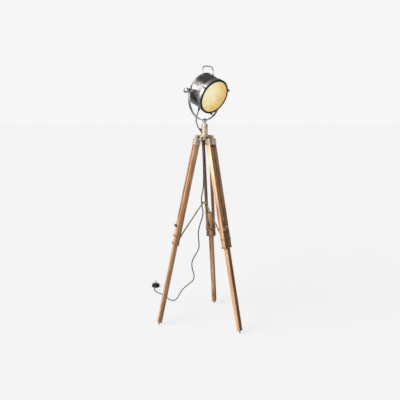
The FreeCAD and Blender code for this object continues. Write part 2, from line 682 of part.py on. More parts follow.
shares = [0.0, 0.04, 0.12, 0.25, 0.42, 0.62, 0.82, 1.0]
node(turned("reflector", [bowl_point(share) for share in shares]
            + [("reflector_radius", REFLECTOR_FRONT),
               ("bezel_radius - bezel_wall - 2", REFLECTOR_FRONT),
               ("bezel_radius - bezel_wall - 2", f"{REFLECTOR_FRONT} - reflector_wall")]
            + [bowl_point(share, "reflector_wall") for share in reversed(shares)]),
     HEAD, "reflector")

HOLDER_BACK = "(-drum_back + drum_wall + bracket_thickness)"
node(turned("lampholder", [
    ("0", HOLDER_BACK), ("holder_radius", HOLDER_BACK),
    ("holder_radius", f"{HOLDER_BACK} + holder_length"),
    ("bulb_cap_radius + seat_gap", f"{HOLDER_BACK} + holder_length"),
    ("bulb_cap_radius + seat_gap", f"{HOLDER_BACK} + 8"), ("0", f"{HOLDER_BACK} + 8")]),
     HEAD, "lampholder")

strap = block("holder_strap", f"2 * ({DRUM_INSIDE} - seat_gap) - 6", "bracket_width",
              "bracket_thickness", z="-drum_back + drum_wall")
node(group("holder_bracket", [strap]), HEAD, "holder_bracket")

BULB_CENTRE = f"({HOLDER_BACK} + holder_length + 28)"
bulb = fuse("bulb", [
    place(bind(doc.addObject("Part::Sphere", "bulb_globe"), Radius="bulb_radius"),
          z=BULB_CENTRE),
    cylinder("bulb_neck", "bulb_cap_radius", f"{BULB_CENTRE} - {HOLDER_BACK} - 8.3",
             z=f"{HOLDER_BACK} + 8.3")])
node(bulb, HEAD, "bulb")

# ---------------------------------------------------------------------------
# tilt pivots
# ---------------------------------------------------------------------------
YOKE_OUT = "(yoke_radius + side_gap)"


def pivot_pair(name, make):
    """The same turned piece on the near and the far side of the drum."""
    pieces = []
    for side, tilt in (("near", "-90"), ("far", "90")):
        pieces.append(place(make(f"{name}_{side}"), pitch=tilt))
    return pieces


def pivot_stud(name):
    """Stand-off boss with the screw that carries yoke, nut and knob."""
    solid = turned(name + "_blank", [
        ("0", "drum_radius - 4"), ("pivot_boss_radius", "drum_radius - 4"),
        ("pivot_boss_radius", "yoke_radius - yoke_thickness - side_gap"),
        ("pivot_screw_radius", "yoke_radius - yoke_thickness - side_gap"),
        ("pivot_screw_radius", f"{YOKE_OUT} + pivot_nut_height + 16"),
        ("0", f"{YOKE_OUT} + pivot_nut_height + 16")])
    return cut(name, solid, [drum_cutter_across(name)])


def drum_cutter_across(name):
    """The drum's outside, seen from a pivot's own axis."""
    return cylinder_x(name + "_drum", "drum_radius", "-3 * pivot_boss_radius",
                      "6 * pivot_boss_radius")


def pivot_nut(name):
    """Hexagon nut outside the yoke arm."""
    nut = hexagon(name + "_hex", "pivot_nut_radius", "pivot_nut_height",
                  "pivot_screw_radius")
    place(nut, z=YOKE_OUT)
    return group(name, [nut])


node(group("pivot_studs", pivot_pair("pivot_stud", pivot_stud)), HEAD, "pivot_studs")
node(group("pivot_nuts", pivot_pair("pivot_nut", pivot_nut)), HEAD, "pivot_nuts")

KNOB_BACK = f"({YOKE_OUT} + pivot_nut_height + side_gap)"
for side, tilt in (("near", "-90"), ("far", "90")):
    knob = turned(f"tilt_knob_{side}", [
        ("pivot_screw_radius + running_gap", KNOB_BACK), ("knob_radius", KNOB_BACK),
        ("knob_radius", f"{KNOB_BACK} + knob_length"), ("0", f"{KNOB_BACK} + knob_length"),
        ("0", f"{KNOB_BACK} + 17"), ("pivot_screw_radius + running_gap", f"{KNOB_BACK} + 17")])
    node(knob, HEAD, f"tilt_knob_{side}", pitch=tilt)

# ---------------------------------------------------------------------------
# handle and cable gland
# ---------------------------------------------------------------------------


def handle():
    """Round rod bent to a U, on two round shoes that fit the drum."""
    span, rise = "handle_half_span", "handle_rise"
    straight = f"({span} - handle_bend)"
    rods, shoes = [], []
    for side, sign in (("near", "-1"), ("far", "1")):
        rods.append(cylinder(f"handle_leg_{side}", "handle_rod_radius",
                             f"{rise} - handle_bend", x=f"{sign} * {span}"))
        bend = bind(doc.addObject("Part::Torus", f"handle_bend_{side}"),
                    Radius1="handle_bend", Radius2="handle_rod_radius")
        bend.Angle3 = 90
        place(bend, f"{sign} * {straight}", "0", f"{rise} - handle_bend",
              yaw="0" if side == "far" else "180", roll="90")
        rods.append(bend)
        shoes.append(cylinder(f"handle_shoe_{side}", "handle_shoe_radius", "18",
                              f"{sign} * {span}", "drum_radius - 21",
                              "-handle_setback", roll="-90"))
    rods.append(cylinder("handle_bar", "handle_rod_radius", f"2 * {straight}",
                         f"-{straight}", "0", rise, pitch="90"))
    rod = place(fuse("handle_rod", rods), y=f"sqrt(drum_radius ^ 2 - {span} ^ 2)",
                z="-handle_setback", roll="-90 - handle_lean")
    return cut("handle", fuse("handle_solid", [rod] + shoes), [drum_space("handle_seat")])


node(handle(), HEAD, "handle")

GLAND_END = "(drum_radius + gland_length)"
gland_blank = turned("gland_blank", [
    ("0", "drum_radius - 4"), ("gland_radius", "drum_radius - 4"),
    ("gland_radius", "drum_radius + 6"), ("gland_radius - 1.5", "drum_radius + 6"),
    ("gland_radius - 1.5", "drum_radius + 15"), ("cord_radius + 1.6", GLAND_END),
    ("0", GLAND_END)])
node(cut("cable_gland", gland_blank,
         [cylinder_y("gland_seat", "drum_radius", "4 * gland_radius")]),
     DRUM_DOWN, "cable_gland")

# ---------------------------------------------------------------------------
# legs
# ---------------------------------------------------------------------------
RAILS_WIDTH = "(rail_gap + 2 * rail_thickness)"
CAP_DEEP = "(rail_depth + 2 * seat_gap + 2 * cap_wall)"
CAP_WIDE = f"({RAILS_WIDTH} + 2 * seat_gap + 2 * cap_wall)"
RAIL_TOP = "(cap_drop + cap_top)"


def leg_cap(leg):
    """Brass box over the rails with the hinge tongue on top."""
    shell = block(f"cap_shell_{leg}", CAP_DEEP, CAP_WIDE, "cap_length",
                  z="-cap_drop - cap_length")
    hollow = block(f"cap_hollow_{leg}", f"{CAP_DEEP} - 2 * cap_wall",
                   f"{CAP_WIDE} - 2 * cap_wall", "cap_length",
                   z=f"-{RAIL_TOP} - cap_length")
    tongue = block(f"cap_tongue_{leg}", "2 * tongue_radius", "tongue_width", "cap_drop",
                   z="-cap_drop")
    round_end = cylinder_y(f"cap_round_{leg}", "tongue_radius", "tongue_width")
    bore = cylinder_y(f"cap_bore_{leg}", "hinge_pin_radius + running_gap", "2 * tongue_width")
    boxed = cut(f"cap_box_{leg}", shell, [hollow])
    return cut(f"leg_cap_{leg}", fuse(f"cap_solid_{leg}", [boxed, tongue, round_end]), [bore])


def leg_rails(leg):
    """The two wooden rails of an upper leg."""
    rails = []
    for side, sign in (("left", "-1"), ("right", "1")):
        rails.append(block(f"rail_{side}_{leg}", "rail_depth", "rail_thickness",
                           f"rail_end - {RAIL_TOP}",
                           y=f"{sign} * (rail_gap + rail_thickness) / 2", z="-rail_end"))
    return group(f"leg_rails_{leg}", rails)


def band(name, height, wall, base):
    """A thin rectangular band round both rails."""
    inside = ("rail_depth + 2 * seat_gap", f"{RAILS_WIDTH} + 2 * seat_gap")
    outer = block(name + "_outer", f"{inside[0]} + 2 * {wall}",
                  f"{inside[1]} + 2 * {wall}", height, z=base)
    inner = block(name + "_inner", inside[0], inside[1], f"({height}) + 2", z=f"{base} - 1")
    return cut(name + "_ring", outer, [inner])


def end_plate(leg):
    """Brass shoe under the rails with a square hole for the lower leg."""
    name = f"end_plate_{leg}"
    skirt = band(name, "end_skirt + end_plate_thickness", "brace_band_wall",
                 "-rail_end - end_plate_thickness")
    plate = block(name + "_plate", "rail_depth + 2 * seat_gap",
                  f"{RAILS_WIDTH} + 2 * seat_gap", "end_plate_thickness",
                  z="-rail_end - end_plate_thickness")
    opening = block(name + "_opening", "lower_leg_width + 2 * side_gap",
                    "lower_leg_width + 2 * side_gap", "4 * end_plate_thickness",
                    z="-rail_end - 2.5 * end_plate_thickness")
    return cut(name, fuse(name + "_solid", [skirt, plate]), [opening])


def brace_band(leg):
    """Brass band round the rails with two ears and the brace pin."""
    name = f"brace_band_{leg}"
    ring = band(name, "brace_band_height", "brace_band_wall",
                "-brace_distance - brace_band_height / 2")
    face = "(rail_depth / 2 + seat_gap + brace_band_wall / 2)"
    reach = f"(brace_offset + brace_eye_radius - {face})"
    solid = [ring]
    for side, sign in (("left", "-1"), ("right", "1")):
        across = f"{sign} * (brace_eye_width / 2 + side_gap + brace_ear / 2)"
        solid.append(block(f"brace_ear_{side}_{leg}", reach, "brace_ear", "brace_band_height",
                           x=f"-{face} - {reach} / 2", y=across,
                           z="-brace_distance - brace_band_height / 2"))
    solid.append(cylinder_y(f"brace_pin_{leg}", "brace_pin_radius",
                            "brace_eye_width + 2 * side_gap + 2 * brace_ear + 2",
                            x="-brace_offset", z="-brace_distance"))
    return fuse(name, solid)


def lock_plate(leg):
    """Brass plate across the rails that the lock knob screws through."""
    name = f"lock_plate_{leg}"
    plate = block(name + "_blank", "lock_plate_thickness", f"{RAILS_WIDTH} - 4",
                  "lock_plate_height", x="rail_depth / 2 + lock_plate_thickness / 2",
                  z="-lock_distance - lock_plate_height / 2")
    return cut(name, plate, [cylinder_x(name + "_hole", "lock_screw_radius + running_gap",
                                        "0", "rail_depth", z="-lock_distance")])


def lock_knob(leg):
    """Round knob on the screw that holds the lower leg."""
    tip = "(lower_leg_width / 2 + side_gap)"
    seat = "(rail_depth / 2 + lock_plate_thickness + side_gap)"
    return fuse(f"lock_knob_{leg}", [
        cylinder_x(f"lock_screw_{leg}", "lock_screw_radius", tip,
                   f"{seat} - {tip} + 4", z="-lock_distance"),
        cylinder_x(f"lock_head_{leg}", "lock_knob_radius", seat, "lock_knob_length",
                   z="-lock_distance")])


def lower_leg(leg):
    """Square wooden lower leg, bored for its spike."""
    bottom = f"({LEG_LENGTH} - spike_length)"
    wood = block(f"lower_blank_{leg}", "lower_leg_width", "lower_leg_width",
                 f"{bottom} - lower_leg_top", z=f"-{bottom}")
    return cut(f"lower_leg_{leg}", wood,
               [cylinder(f"lower_bore_{leg}", "spike_radius", "spike_shank + 1",
                         z=f"-{bottom} - 1")])


def spike(leg):
    """Steel spike, cut off level with the floor."""
    rod = cylinder(f"spike_rod_{leg}", "spike_radius", "spike_length + spike_shank + 5",
                   z=f"-{LEG_LENGTH} - 5")
    ground = block(f"spike_ground_{leg}", "60", "60", "30")
    place(ground, f"-30 * cos(splay_angle) - 30 * sin(splay_angle)", "-30",
          f"-{LEG_LENGTH} + 30 * sin(splay_angle) - 30 * cos(splay_angle)",
          pitch="splay_angle")
    return cut(f"spike_{leg}", rod, [ground])


def brace_rod(leg):
    """Brass rod with an eye at the leg and a flattened tip at the collar."""
    name = f"brace_rod_{leg}"
    eye = cylinder_y(name + "_eye", "brace_eye_radius", "brace_eye_width")
    rod = cylinder(name + "_rod", "brace_rod_radius", f"{BRACE_LENGTH} - brace_tip_length + 2")
    tip = block(name + "_tip", "2 * brace_rod_radius", "brace_tip_width", "brace_tip_length",
                z=f"{BRACE_LENGTH} - brace_tip_length")
    tip_end = cylinder_y(name + "_tip_end", "brace_rod_radius", "brace_tip_width",
                         z=BRACE_LENGTH)
    bore = cylinder_y(name + "_bore", "brace_pin_radius + running_gap", "2 * brace_eye_width")
    return cut(name, fuse(name + "_solid", [eye, rod, tip, tip_end]), [bore])


def brace_collar():
    """Round collar with three slots for the tips of the braces."""
    blank = cylinder("collar_blank", "collar_radius", "collar_thickness",
                     z="collar_height - collar_thickness / 2")
    slots = []
    for leg in LEG_NAMES:
        slot = block(f"collar_slot_{leg}", "collar_radius", "brace_tip_width + 2 * side_gap",
                     "2 * collar_thickness", x="collar_core + collar_radius / 2",
                     z="collar_height - collar_thickness")
        slots.append(place(group(f"collar_cut_{leg}", [slot]), yaw=f"{LEG_TURNS[leg]} - 90"))
    return cut("brace_collar", blank, slots)


for leg in LEG_NAMES:
    for make in (leg_cap, leg_rails, end_plate, brace_band, lock_plate, lock_knob,
                 lower_leg, spike):
        node(make(leg), LEGS[leg], f"{make.__name__}_{leg}")
    node(brace_rod(leg), BRACES[leg], f"brace_rod_{leg}")
node(brace_collar(), STAND, "brace_collar")

doc.recompute()


# ---------------------------------------------------------------------------
# mains cord: straight runs joined by tangent arcs
# ---------------------------------------------------------------------------
def tangent_path(points, name):
    """A wire of straight runs with an arc at each inner point of the route."""
    edges, start, radii = [], points[0], []
    for before, corner, after in zip(points, points[1:], points[2:]):
        run_in, run_out = corner - before, after - corner
        turn = run_in.getAngle(run_out)
        shorter = min(run_in.Length, run_out.Length)
        reach = ARC_SHARE * shorter
        radii.append(reach / math.tan(turn / 2))
        run_in.normalize()
        run_out.normalize()
        arc_start = corner - run_in * reach
        arc_end = corner + run_out * reach
        inward = run_out - run_in
        inward.normalize()
        middle = corner + inward * (radii[-1] / math.cos(turn / 2) - radii[-1])
        edges.append(Part.LineSegment(start, arc_start).toShape())
        edges.append(Part.Arc(arc_start, middle, arc_end).toShape())
        start = arc_end
    edges.append(Part.LineSegment(start, points[-1]).toShape())
    print(name, "radii:", [round(radius) for radius in radii])
    return Part.Wire(edges)


def cord(name, route):
    """A round cord along a route, as one solid."""
    points = [FreeCAD.Vector(*point) for point in route]
    wire = tangent_path(points, name)
    radius = VALUES["cord_radius"]
    section = Part.Wire(Part.Circle(points[0], points[1] - points[0], radius).toShape())
    tube = wire.makePipeShell([section], True, True)
    whole = math.pi * radius ** 2 * wire.Length
    print(name, "length", round(wire.Length, 1), "volume ratio", round(tube.Volume / whole, 5))
    piece = doc.addObject("Part::Feature", name)
    piece.Shape = tube
    piece.Label = name
    NODES.append(piece)
    return piece


ARC_SHARE = 0.45
MAST = FreeCAD.Vector(VALUES["mast_x"], VALUES["mast_y"], 0)


def frame_point(frame, x="0", y="0", z="0"):
    """A point of a frame, given by formulas, in the whole model's axes."""
    spot = FreeCAD.Vector(value(x), value(y), value(z))
    return frame.marker.Placement.multVec(spot)


# ---------------------------------------------------------------------------
# plug, lying on its back with the pins up
# ---------------------------------------------------------------------------
PLUG = Frame("PlugFrame", None, "plug_x", "plug_y", yaw="-plug_turn")


def plug_body():
    """Moulded plug body, wide in the middle and narrow at the cord."""
    half, end = "plug_width / 2", "plug_length / 2"
    side = [("plug_nose", f"-{end}"), (half, "-plug_length / 6"),
            (half, "plug_length / 5"), ("plug_width / 3", end)]
    mirrored = [(f"-({across})", up) for across, up in reversed(side)]
    return prism("plug_body", side + mirrored, "plug_thickness")


def plug_pins():
    """Three flat pins that stand on the plug's face."""
    earth = block("pin_earth", "4", "8", "22.7", y="pin_rise", z="plug_thickness")
    pins = [earth]
    for side, sign in (("left", "-1"), ("right", "1")):
        pins.append(block(f"pin_{side}", "6.4", "4", "17.7", x=f"{sign} * pin_half_span",
                          y="pin_rise - 22.2", z="plug_thickness"))
    return group("plug_pins", pins)


node(plug_body(), PLUG, "plug_body")
node(plug_pins(), PLUG, "plug_pins")
doc.recompute()

# from the gland under the drum, behind the yoke, down to the grommet
GROMMET_AXIS = Frame("GrommetFrame", STAND, z=GROMMET_HEIGHT, yaw=GROMMET_TURN,
                     pitch="90 - grommet_rise")
GROMMET_LENGTH = "grommet_out / cos(grommet_rise)"
doc.recompute()
UPPER_ROUTE = [
    frame_point(DRUM_DOWN, z=f"{GLAND_END} + side_gap"),
    frame_point(DRUM_DOWN, z=f"{GLAND_END} + 24"),
    (-18.3, -1.2, 1204.0),
    (-13.5, -4.2, 1177.0),
    frame_point(GROMMET_AXIS, z=f"{GROMMET_LENGTH} + 28"),
    frame_point(GROMMET_AXIS, z=f"{GROMMET_LENGTH} + seat_gap"),
]
cord("upper_cord", [tuple(point) for point in UPPER_ROUTE])

# from the bush under the hub, past the collar, down to the floor and the plug
LOWER_ROUTE = [
    (31.5, -37.8, 1089.0),
    (31.5, -37.8, 1050.0),
    (29.0, -35.5, 985.0),
    (25.0, -30.0, 915.0),
    (27.0, -24.0, 856.0),
    (23.9, -17.8, 800.2),
    (13.4, -15.8, 752.5),
    (13.9, -15.8, 713.8),
    (22.1, -17.8, 678.3),
    (22.1, -17.8, 639.3),
    (9.6, -9.8, 601.3),
    (-1.8, -1.8, 559.9),
    (-6.2, 12.2, 513.5),
    (-1.7, 28.2, 469.1),
    (-0.7, 46.2, 426.6),
    (-16.2, 62.2, 390.5),
    (-36.2, 77.2, 354.2),
    (-48.5, 92.2, 314.3),
    (-43.5, 112.2, 269.0),
    (-32.3, 137.2, 224.7),
    (-37.5, 167.2, 181.3),
    (-61.4, 194.0, 150.6),
    (-92.4, 217.0, 119.6),
    (-119.9, 233.0, 82.0),
    (-137.5, 242.5, 46.0),
    (-153.0, 250.5, 19.0),
    (-173.0, 260.5, 5.2),
    (-197.0, 280.0, 3.3),
    (-216.0, 311.0, 3.3),
    (-233.0, 352.0, 3.3),
    (-262.0, 389.0, 3.3),
    (-297.0, 420.0, 3.3),
    (-318.0, 460.0, 3.6),
    (-321.0, 490.0, 6.0),
]
cord("lower_cord", LOWER_ROUTE + [tuple(frame_point(
    PLUG, y="-plug_length / 2", z="plug_cord_height"))])


# ---------------------------------------------------------------------------
# checks and files
# ---------------------------------------------------------------------------
doc.recompute()
for item in doc.Objects:
    for flag in ("Invalid", "Error"):
        if flag in item.State:
            raise RuntimeError(f"{item.Name} is {item.State}")
for piece in NODES:
    if piece.Shape.isNull() or not piece.Shape.isValid():
        raise RuntimeError(f"{piece.Label} has no valid shape")
for piece in NODES:
    piece.Shape.exportStep(f"parts/{piece.Label}.step")
print(len(NODES), "nodes written")
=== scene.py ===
"""Visual model of a tripod spotlight floor lamp.

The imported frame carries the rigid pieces.  This script gives every piece a
procedural finish, replaces the plain pieces with detailed meshes in the same
places, lays the mains cord and sets up the studio.

Outlines and sizes of pieces are in millimetres.  The axes of the
sub-assemblies, the cords' routes and the studio are in metres, as the frame is.
"""

import json
import logging
import math
from dataclasses import dataclass, field
from enum import Enum
from typing import Callable, Iterable, Optional, Sequence, Union

import bmesh
import bpy
from mathutils import Matrix, Vector, noise


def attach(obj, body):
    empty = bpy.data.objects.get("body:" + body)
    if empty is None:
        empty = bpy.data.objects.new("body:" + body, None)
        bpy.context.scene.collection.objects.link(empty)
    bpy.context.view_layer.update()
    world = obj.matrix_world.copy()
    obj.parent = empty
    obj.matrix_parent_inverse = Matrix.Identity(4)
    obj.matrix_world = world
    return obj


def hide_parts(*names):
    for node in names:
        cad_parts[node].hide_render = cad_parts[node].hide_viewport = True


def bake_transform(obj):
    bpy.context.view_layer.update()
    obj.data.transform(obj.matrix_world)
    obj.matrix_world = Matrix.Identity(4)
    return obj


LOG = logging.getLogger("scene")
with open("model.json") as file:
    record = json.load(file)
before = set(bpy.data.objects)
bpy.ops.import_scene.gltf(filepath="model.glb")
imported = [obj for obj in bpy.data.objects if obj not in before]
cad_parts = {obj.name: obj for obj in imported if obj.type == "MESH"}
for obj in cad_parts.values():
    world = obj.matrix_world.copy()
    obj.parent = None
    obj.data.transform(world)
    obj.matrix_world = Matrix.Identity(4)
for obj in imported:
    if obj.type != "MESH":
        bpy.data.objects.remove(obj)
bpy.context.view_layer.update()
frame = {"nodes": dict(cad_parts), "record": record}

Colour = tuple[float, float, float]
Point = tuple[float, float, float]
Outline = Sequence[tuple[float, float]]
Carve = Callable[[int, Vector], Vector]

MM = 0.001
IDENTITY = Matrix.Identity(4)

# places that the CAD model uses too, in metres and degrees
MAST_X, MAST_Y = 0.0315, -0.0378
PIVOT_HEIGHT = 1.361
HEAD_AZIMUTH, HEAD_PITCH = 45.0, 25.0
HINGE_RADIUS, HINGE_HEIGHT = 0.042, 1.104
LEG_SPLAY = 12.216
LEG_AZIMUTHS = {"a": 286.4, "b": 166.4, "c": 46.4}
LEG_LENGTH = HINGE_HEIGHT / math.cos(math.radians(LEG_SPLAY))
CORD_RADIUS = 0.00315
COLLAR_PIVOT, COLLAR_HEIGHT = 0.011, 0.722


class Slot(str, Enum):
    """Material slots of the record that the pieces take their finish from."""

    AGED_BRASS = "aged_brass"
    BRIGHT_BRASS = "bright_brass"
    NICKEL = "polished_nickel"
    CHROME = "bright_chrome"
    BLACK_STEEL = "black_steel"
    STEEL = "plain_steel"
    STAINED_WOOD = "stained_wood"
    LIGHT_WOOD = "light_wood"
    GLASS = "amber_glass"
    MIRROR = "reflector_mirror"
    BULB = "bulb_glass"
    RUBBER = "black_rubber"
    PLASTIC = "black_plastic"
    CORD = "cord_sheath"


class Look(Enum):
    """Finishes for pieces that differ from the usual look of their slot."""

    BRONZE = "the leg locks"
    SLEEVE = "the plug's pins"
    WORN = "the nut on the yoke"
    SATIN = "the bezel, the yoke and the tilt knobs"
    BROWNED = "the bands on the wood"


Key = Union[Slot, Look, tuple[Slot, str]]


def turn(angle: float, axis: str) -> Matrix:
    """A rotation by degrees about the X, Y or Z axis."""
    return Matrix.Rotation(math.radians(angle), 4, axis)


def shift(x: float, y: float, z: float) -> Matrix:
    """A move by millimetres."""
    return Matrix.Translation(Vector((x, y, z)) * MM)


def mast_frame() -> Matrix:
    """The mast's own axes, on the floor."""
    return Matrix.Translation((MAST_X, MAST_Y, 0.0))


def yoke_frame() -> Matrix:
    """The tilt pivot's axes: X along the pivot, Z up."""
    return mast_frame() @ Matrix.Translation((0, 0, PIVOT_HEIGHT)) @ turn(HEAD_AZIMUTH, "Z")


def head_frame() -> Matrix:
    """The drum's axes: Z along the lens axis, Y up through the drum."""
    return yoke_frame() @ turn(90 + HEAD_PITCH, "X")


def side_frame(leg: str) -> Matrix:
    """The mast's axes turned so that X points towards a leg."""
    return mast_frame() @ turn(LEG_AZIMUTHS[leg] - 90, "Z")


def hinge_frame(leg: str) -> Matrix:
    """The axes of a leg's hinge on the hub: X outward, Y along the pin."""
    return side_frame(leg) @ Matrix.Translation((HINGE_RADIUS, 0, HINGE_HEIGHT))


def leg_frame(leg: str) -> Matrix:
    """A leg's axes: Z up along the leg from its hinge pin, X outward."""
    return hinge_frame(leg) @ turn(-LEG_SPLAY, "Y")


# ---------------------------------------------------------------------------
# shader graph
# ---------------------------------------------------------------------------
class Graph:
    """Adds and joins shader nodes in one tree."""

    def __init__(self, tree: bpy.types.NodeTree) -> None:
        self.tree = tree
        tree.nodes.clear()

    def node(self, kind: str, inputs: Optional[dict[Union[str, int], object]] = None,
             **settings: object) -> bpy.types.Node:
        """Add a node.

        Args:
            kind: Node type, without the leading "ShaderNode".
            inputs: What its sockets get, by name or number: a value or another socket.
            settings: Properties of the node.

        Returns:
            The new node.
        """
        made = self.tree.nodes.new("ShaderNode" + kind)
        for name, value in settings.items():
            setattr(made, name, value)
        for name, value in (inputs or {}).items():
            socket = made.inputs[name]
            if isinstance(value, bpy.types.NodeSocket):
                self.tree.links.new(value, socket)
            elif socket.type == "RGBA":
                socket.default_value = (*value, 1.0)
            else:
                socket.default_value = value
        return made

    def placed(self, place: Matrix = IDENTITY, stretch: Point = (1, 1, 1)
               ) -> bpy.types.NodeSocket:
        """Object coordinates seen from a frame, stretched along its axes.

        Args:
            place: The frame.
            stretch: Factor on each axis.

        Returns:
            The vector socket.
        """
        inverse = place.inverted()
        mapped = self.node("Mapping", {"Vector": self.node("TexCoord").outputs["Object"],
                                       "Location": inverse.to_translation(),
                                       "Rotation": inverse.to_euler()}, vector_type="POINT")
        return self.node("VectorMath", {0: mapped.outputs["Vector"], 1: stretch},
                         operation="MULTIPLY").outputs["Vector"]

    def noise(self, vector: bpy.types.NodeSocket, scale: float, detail: float = 4.0,
              rough: float = 0.55, distortion: float = 0.0) -> bpy.types.NodeSocket:
        """A noise value."""
        return self.node("TexNoise", {"Vector": vector, "Scale": scale, "Detail": detail,
                                      "Roughness": rough, "Distortion": distortion}
                         ).outputs["Fac"]

    def ramp(self, value: object, stops: Sequence[tuple[float, Colour]]) -> bpy.types.NodeSocket:
        """A colour ramp over a value.

        Args:
            value: Where on the ramp, from zero to one.
            stops: Places on the ramp with their colours.

        Returns:
            The colour socket.
        """
        made = self.node("ValToRGB", {"Fac": value})
        elements = made.color_ramp.elements
        while len(elements) < len(stops):
            elements.new(0.5)
        for element, (at, colour) in zip(elements, stops):
            element.position = at
            element.color = (*colour, 1.0)
        return made.outputs["Color"]

    def span(self, value: object, low: float, high: float, out_low: float = 0.0,
             out_high: float = 1.0) -> bpy.types.NodeSocket:
        """A value moved smoothly from one range to another, and clamped."""
        return self.node("MapRange", {"Value": value, "From Min": low, "From Max": high,
                                      "To Min": out_low, "To Max": out_high},
                         interpolation_type="SMOOTHSTEP").outputs["Result"]

    def blend(self, factor: object, first: object, second: object,
              how: str = "MIX") -> bpy.types.NodeSocket:
        """Two colours mixed by a factor."""
        return self.node("Mix", {0: factor, 6: first, 7: second}, data_type="RGBA",
                         blend_type=how).outputs[2]

    def maths(self, operation: str, first: object, second: object) -> bpy.types.NodeSocket:
        """One sum, product or other operation."""
        return self.node("Math", {0: first, 1: second}, operation=operation).outputs[0]

    def weighed(self, *terms: tuple[object, float]) -> bpy.types.NodeSocket:
        """The sum of two values, each times its weight."""
        first, second = (self.maths("MULTIPLY", value, weight) for value, weight in terms)
        return self.maths("ADD", first, second)

    def bump(self, height: bpy.types.NodeSocket, strength: float,
             distance: float) -> bpy.types.NodeSocket:
        """A bumped normal."""
        return self.node("Bump", {"Strength": strength, "Distance": distance,
                                  "Height": height}).outputs["Normal"]

    def surface(self, **values: object) -> None:
        """A Principled shader on the output, fed by socket names with _ for spaces."""
        shader = self.node("BsdfPrincipled", {name.replace("_", " "): value
                                              for name, value in values.items()})
        self.node("OutputMaterial", {"Surface": shader.outputs["BSDF"]})


def new_material(name: str) -> tuple[bpy.types.Material, Graph]:
    """An empty node material and its graph.

    Args:
        name: Material name.

    Returns:
        The material and the graph.
    """
    made = bpy.data.materials.new(name)
    made.use_nodes = True
    return made, Graph(made.node_tree)


def dimmed(colour: Colour, share: float) -> Colour:
    """A darker shade of a colour."""
    return tuple(share * part for part in colour)


# ---------------------------------------------------------------------------
# finishes
# ---------------------------------------------------------------------------
@dataclass(frozen=True)
class Metal:
    """A metal whose colour and gloss vary in soft patches.

    Attributes:
        name: Material name.
        clean: Colour where the metal is bare.
        tarnished: Colour in the patches.
        gloss: Lowest and highest roughness.
        patch_scale: Size of the patches, per metre.
        patchy: Where the patches start and are full, on the noise.
        relief: Depth of the fine unevenness, in metres.
    """

    name: str
    clean: Colour
    tarnished: Colour
    gloss: tuple[float, float]
    patch_scale: float = 28.0
    patchy: tuple[float, float] = (0.42, 0.68)
    relief: float = 0.00004

    def material(self) -> bpy.types.Material:
        """Build the material.

        Returns:
            The node material.
        """
        made, graph = new_material(self.name)
        coords = graph.placed()
        patches = graph.noise(coords, self.patch_scale, 6.0, 0.6, 0.4)
        fine = graph.noise(coords, self.patch_scale * 11, 3.0)
        colour = graph.blend(graph.span(patches, *self.patchy), self.clean, self.tarnished)
        uneven = graph.weighed((patches, 0.7), (fine, 0.3))
        graph.surface(Base_Color=colour, Metallic=1.0,
                      Roughness=graph.span(uneven, 0.35, 0.65, *self.gloss),
                      Normal=graph.bump(fine, 0.25, self.relief))
        return made


@dataclass(frozen=True)
class Wood:
    """Streaked, stained wood whose grain runs along a leg.

    Attributes:
        name: Material name.
        leg: The leg whose axes the grain follows.
        shift: Moves the pattern, so that boards differ.
        pale: Colour between the streaks.
        middle: Main colour.
        dark: Colour of the streaks.
    """

    name: str
    leg: str
    shift: float
    pale: Colour = (0.78, 0.58, 0.39)
    middle: Colour = (0.47, 0.25, 0.125)
    dark: Colour = (0.085, 0.036, 0.016)

    def material(self) -> bpy.types.Material:
        """Build the material.

        Returns:
            The node material.
        """
        made, graph = new_material(self.name)
        place = leg_frame(self.leg) @ Matrix.Translation(Vector((0.3, 0.7, 0.9)) * self.shift)

        def grain(along: float, *noise_values: float) -> bpy.types.NodeSocket:
            """Noise drawn out along the leg."""
            return graph.noise(graph.placed(place, (1.0, 1.0, along)), *noise_values)

        bands = grain(0.055, 46.0, 3.0, 0.5, 0.9)
        streaks = grain(0.022, 210.0, 4.0, 0.6, 0.5)
        pores = grain(0.03, 1100.0, 2.0, 0.5)
        blotch = grain(0.3, 14.0, 3.0, 0.5, 0.3)
        colour = graph.ramp(graph.weighed((bands, 0.55), (streaks, 0.45)),
                            [(0.34, self.dark), (0.45, self.middle), (0.54, self.middle),
                             (0.64, self.pale)])
        stained = graph.blend(graph.span(blotch, 0.50, 0.72, 0.0, 0.55), colour, self.dark)
        lined = graph.blend(graph.span(pores, 0.60, 0.74, 0.0, 0.45), stained,
                            dimmed(self.dark, 0.45))
        relief = graph.maths("SUBTRACT", streaks, graph.maths("MULTIPLY", pores, 0.5))
        graph.surface(Base_Color=lined, Roughness=graph.span(streaks, 0.3, 0.7, 0.34, 0.52),
                      Specular_IOR_Level=0.45, Coat_Weight=0.18, Coat_Roughness=0.28,
                      Normal=graph.bump(relief, 0.35, 0.0003))
        return made


@dataclass(frozen=True)
class Moulded:
    """Rubber, plastic or black paint with a fine grain.

    Attributes:
        name: Material name.
        colour: Main colour.
        worn: Colour of rubbed places.
        gloss: Lowest and highest roughness.
        grain: Scale of the surface grain, per metre.
    """

    name: str
    colour: Colour
    worn: Colour
    gloss: tuple[float, float]
    grain: float = 900.0

    def material(self) -> bpy.types.Material:
        """Build the material.

        Returns:
            The node material.
        """
        made, graph = new_material(self.name)
        coords = graph.placed()
        broad = graph.noise(coords, 60.0, 5.0, 0.6)
        fine = graph.noise(coords, self.grain, 2.0)
        graph.surface(Base_Color=graph.blend(graph.span(broad, 0.52, 0.75), self.colour, self.worn),
                      Roughness=graph.span(broad, 0.3, 0.7, *self.gloss),
                      Normal=graph.bump(fine, 0.4, 0.00006))
        return made


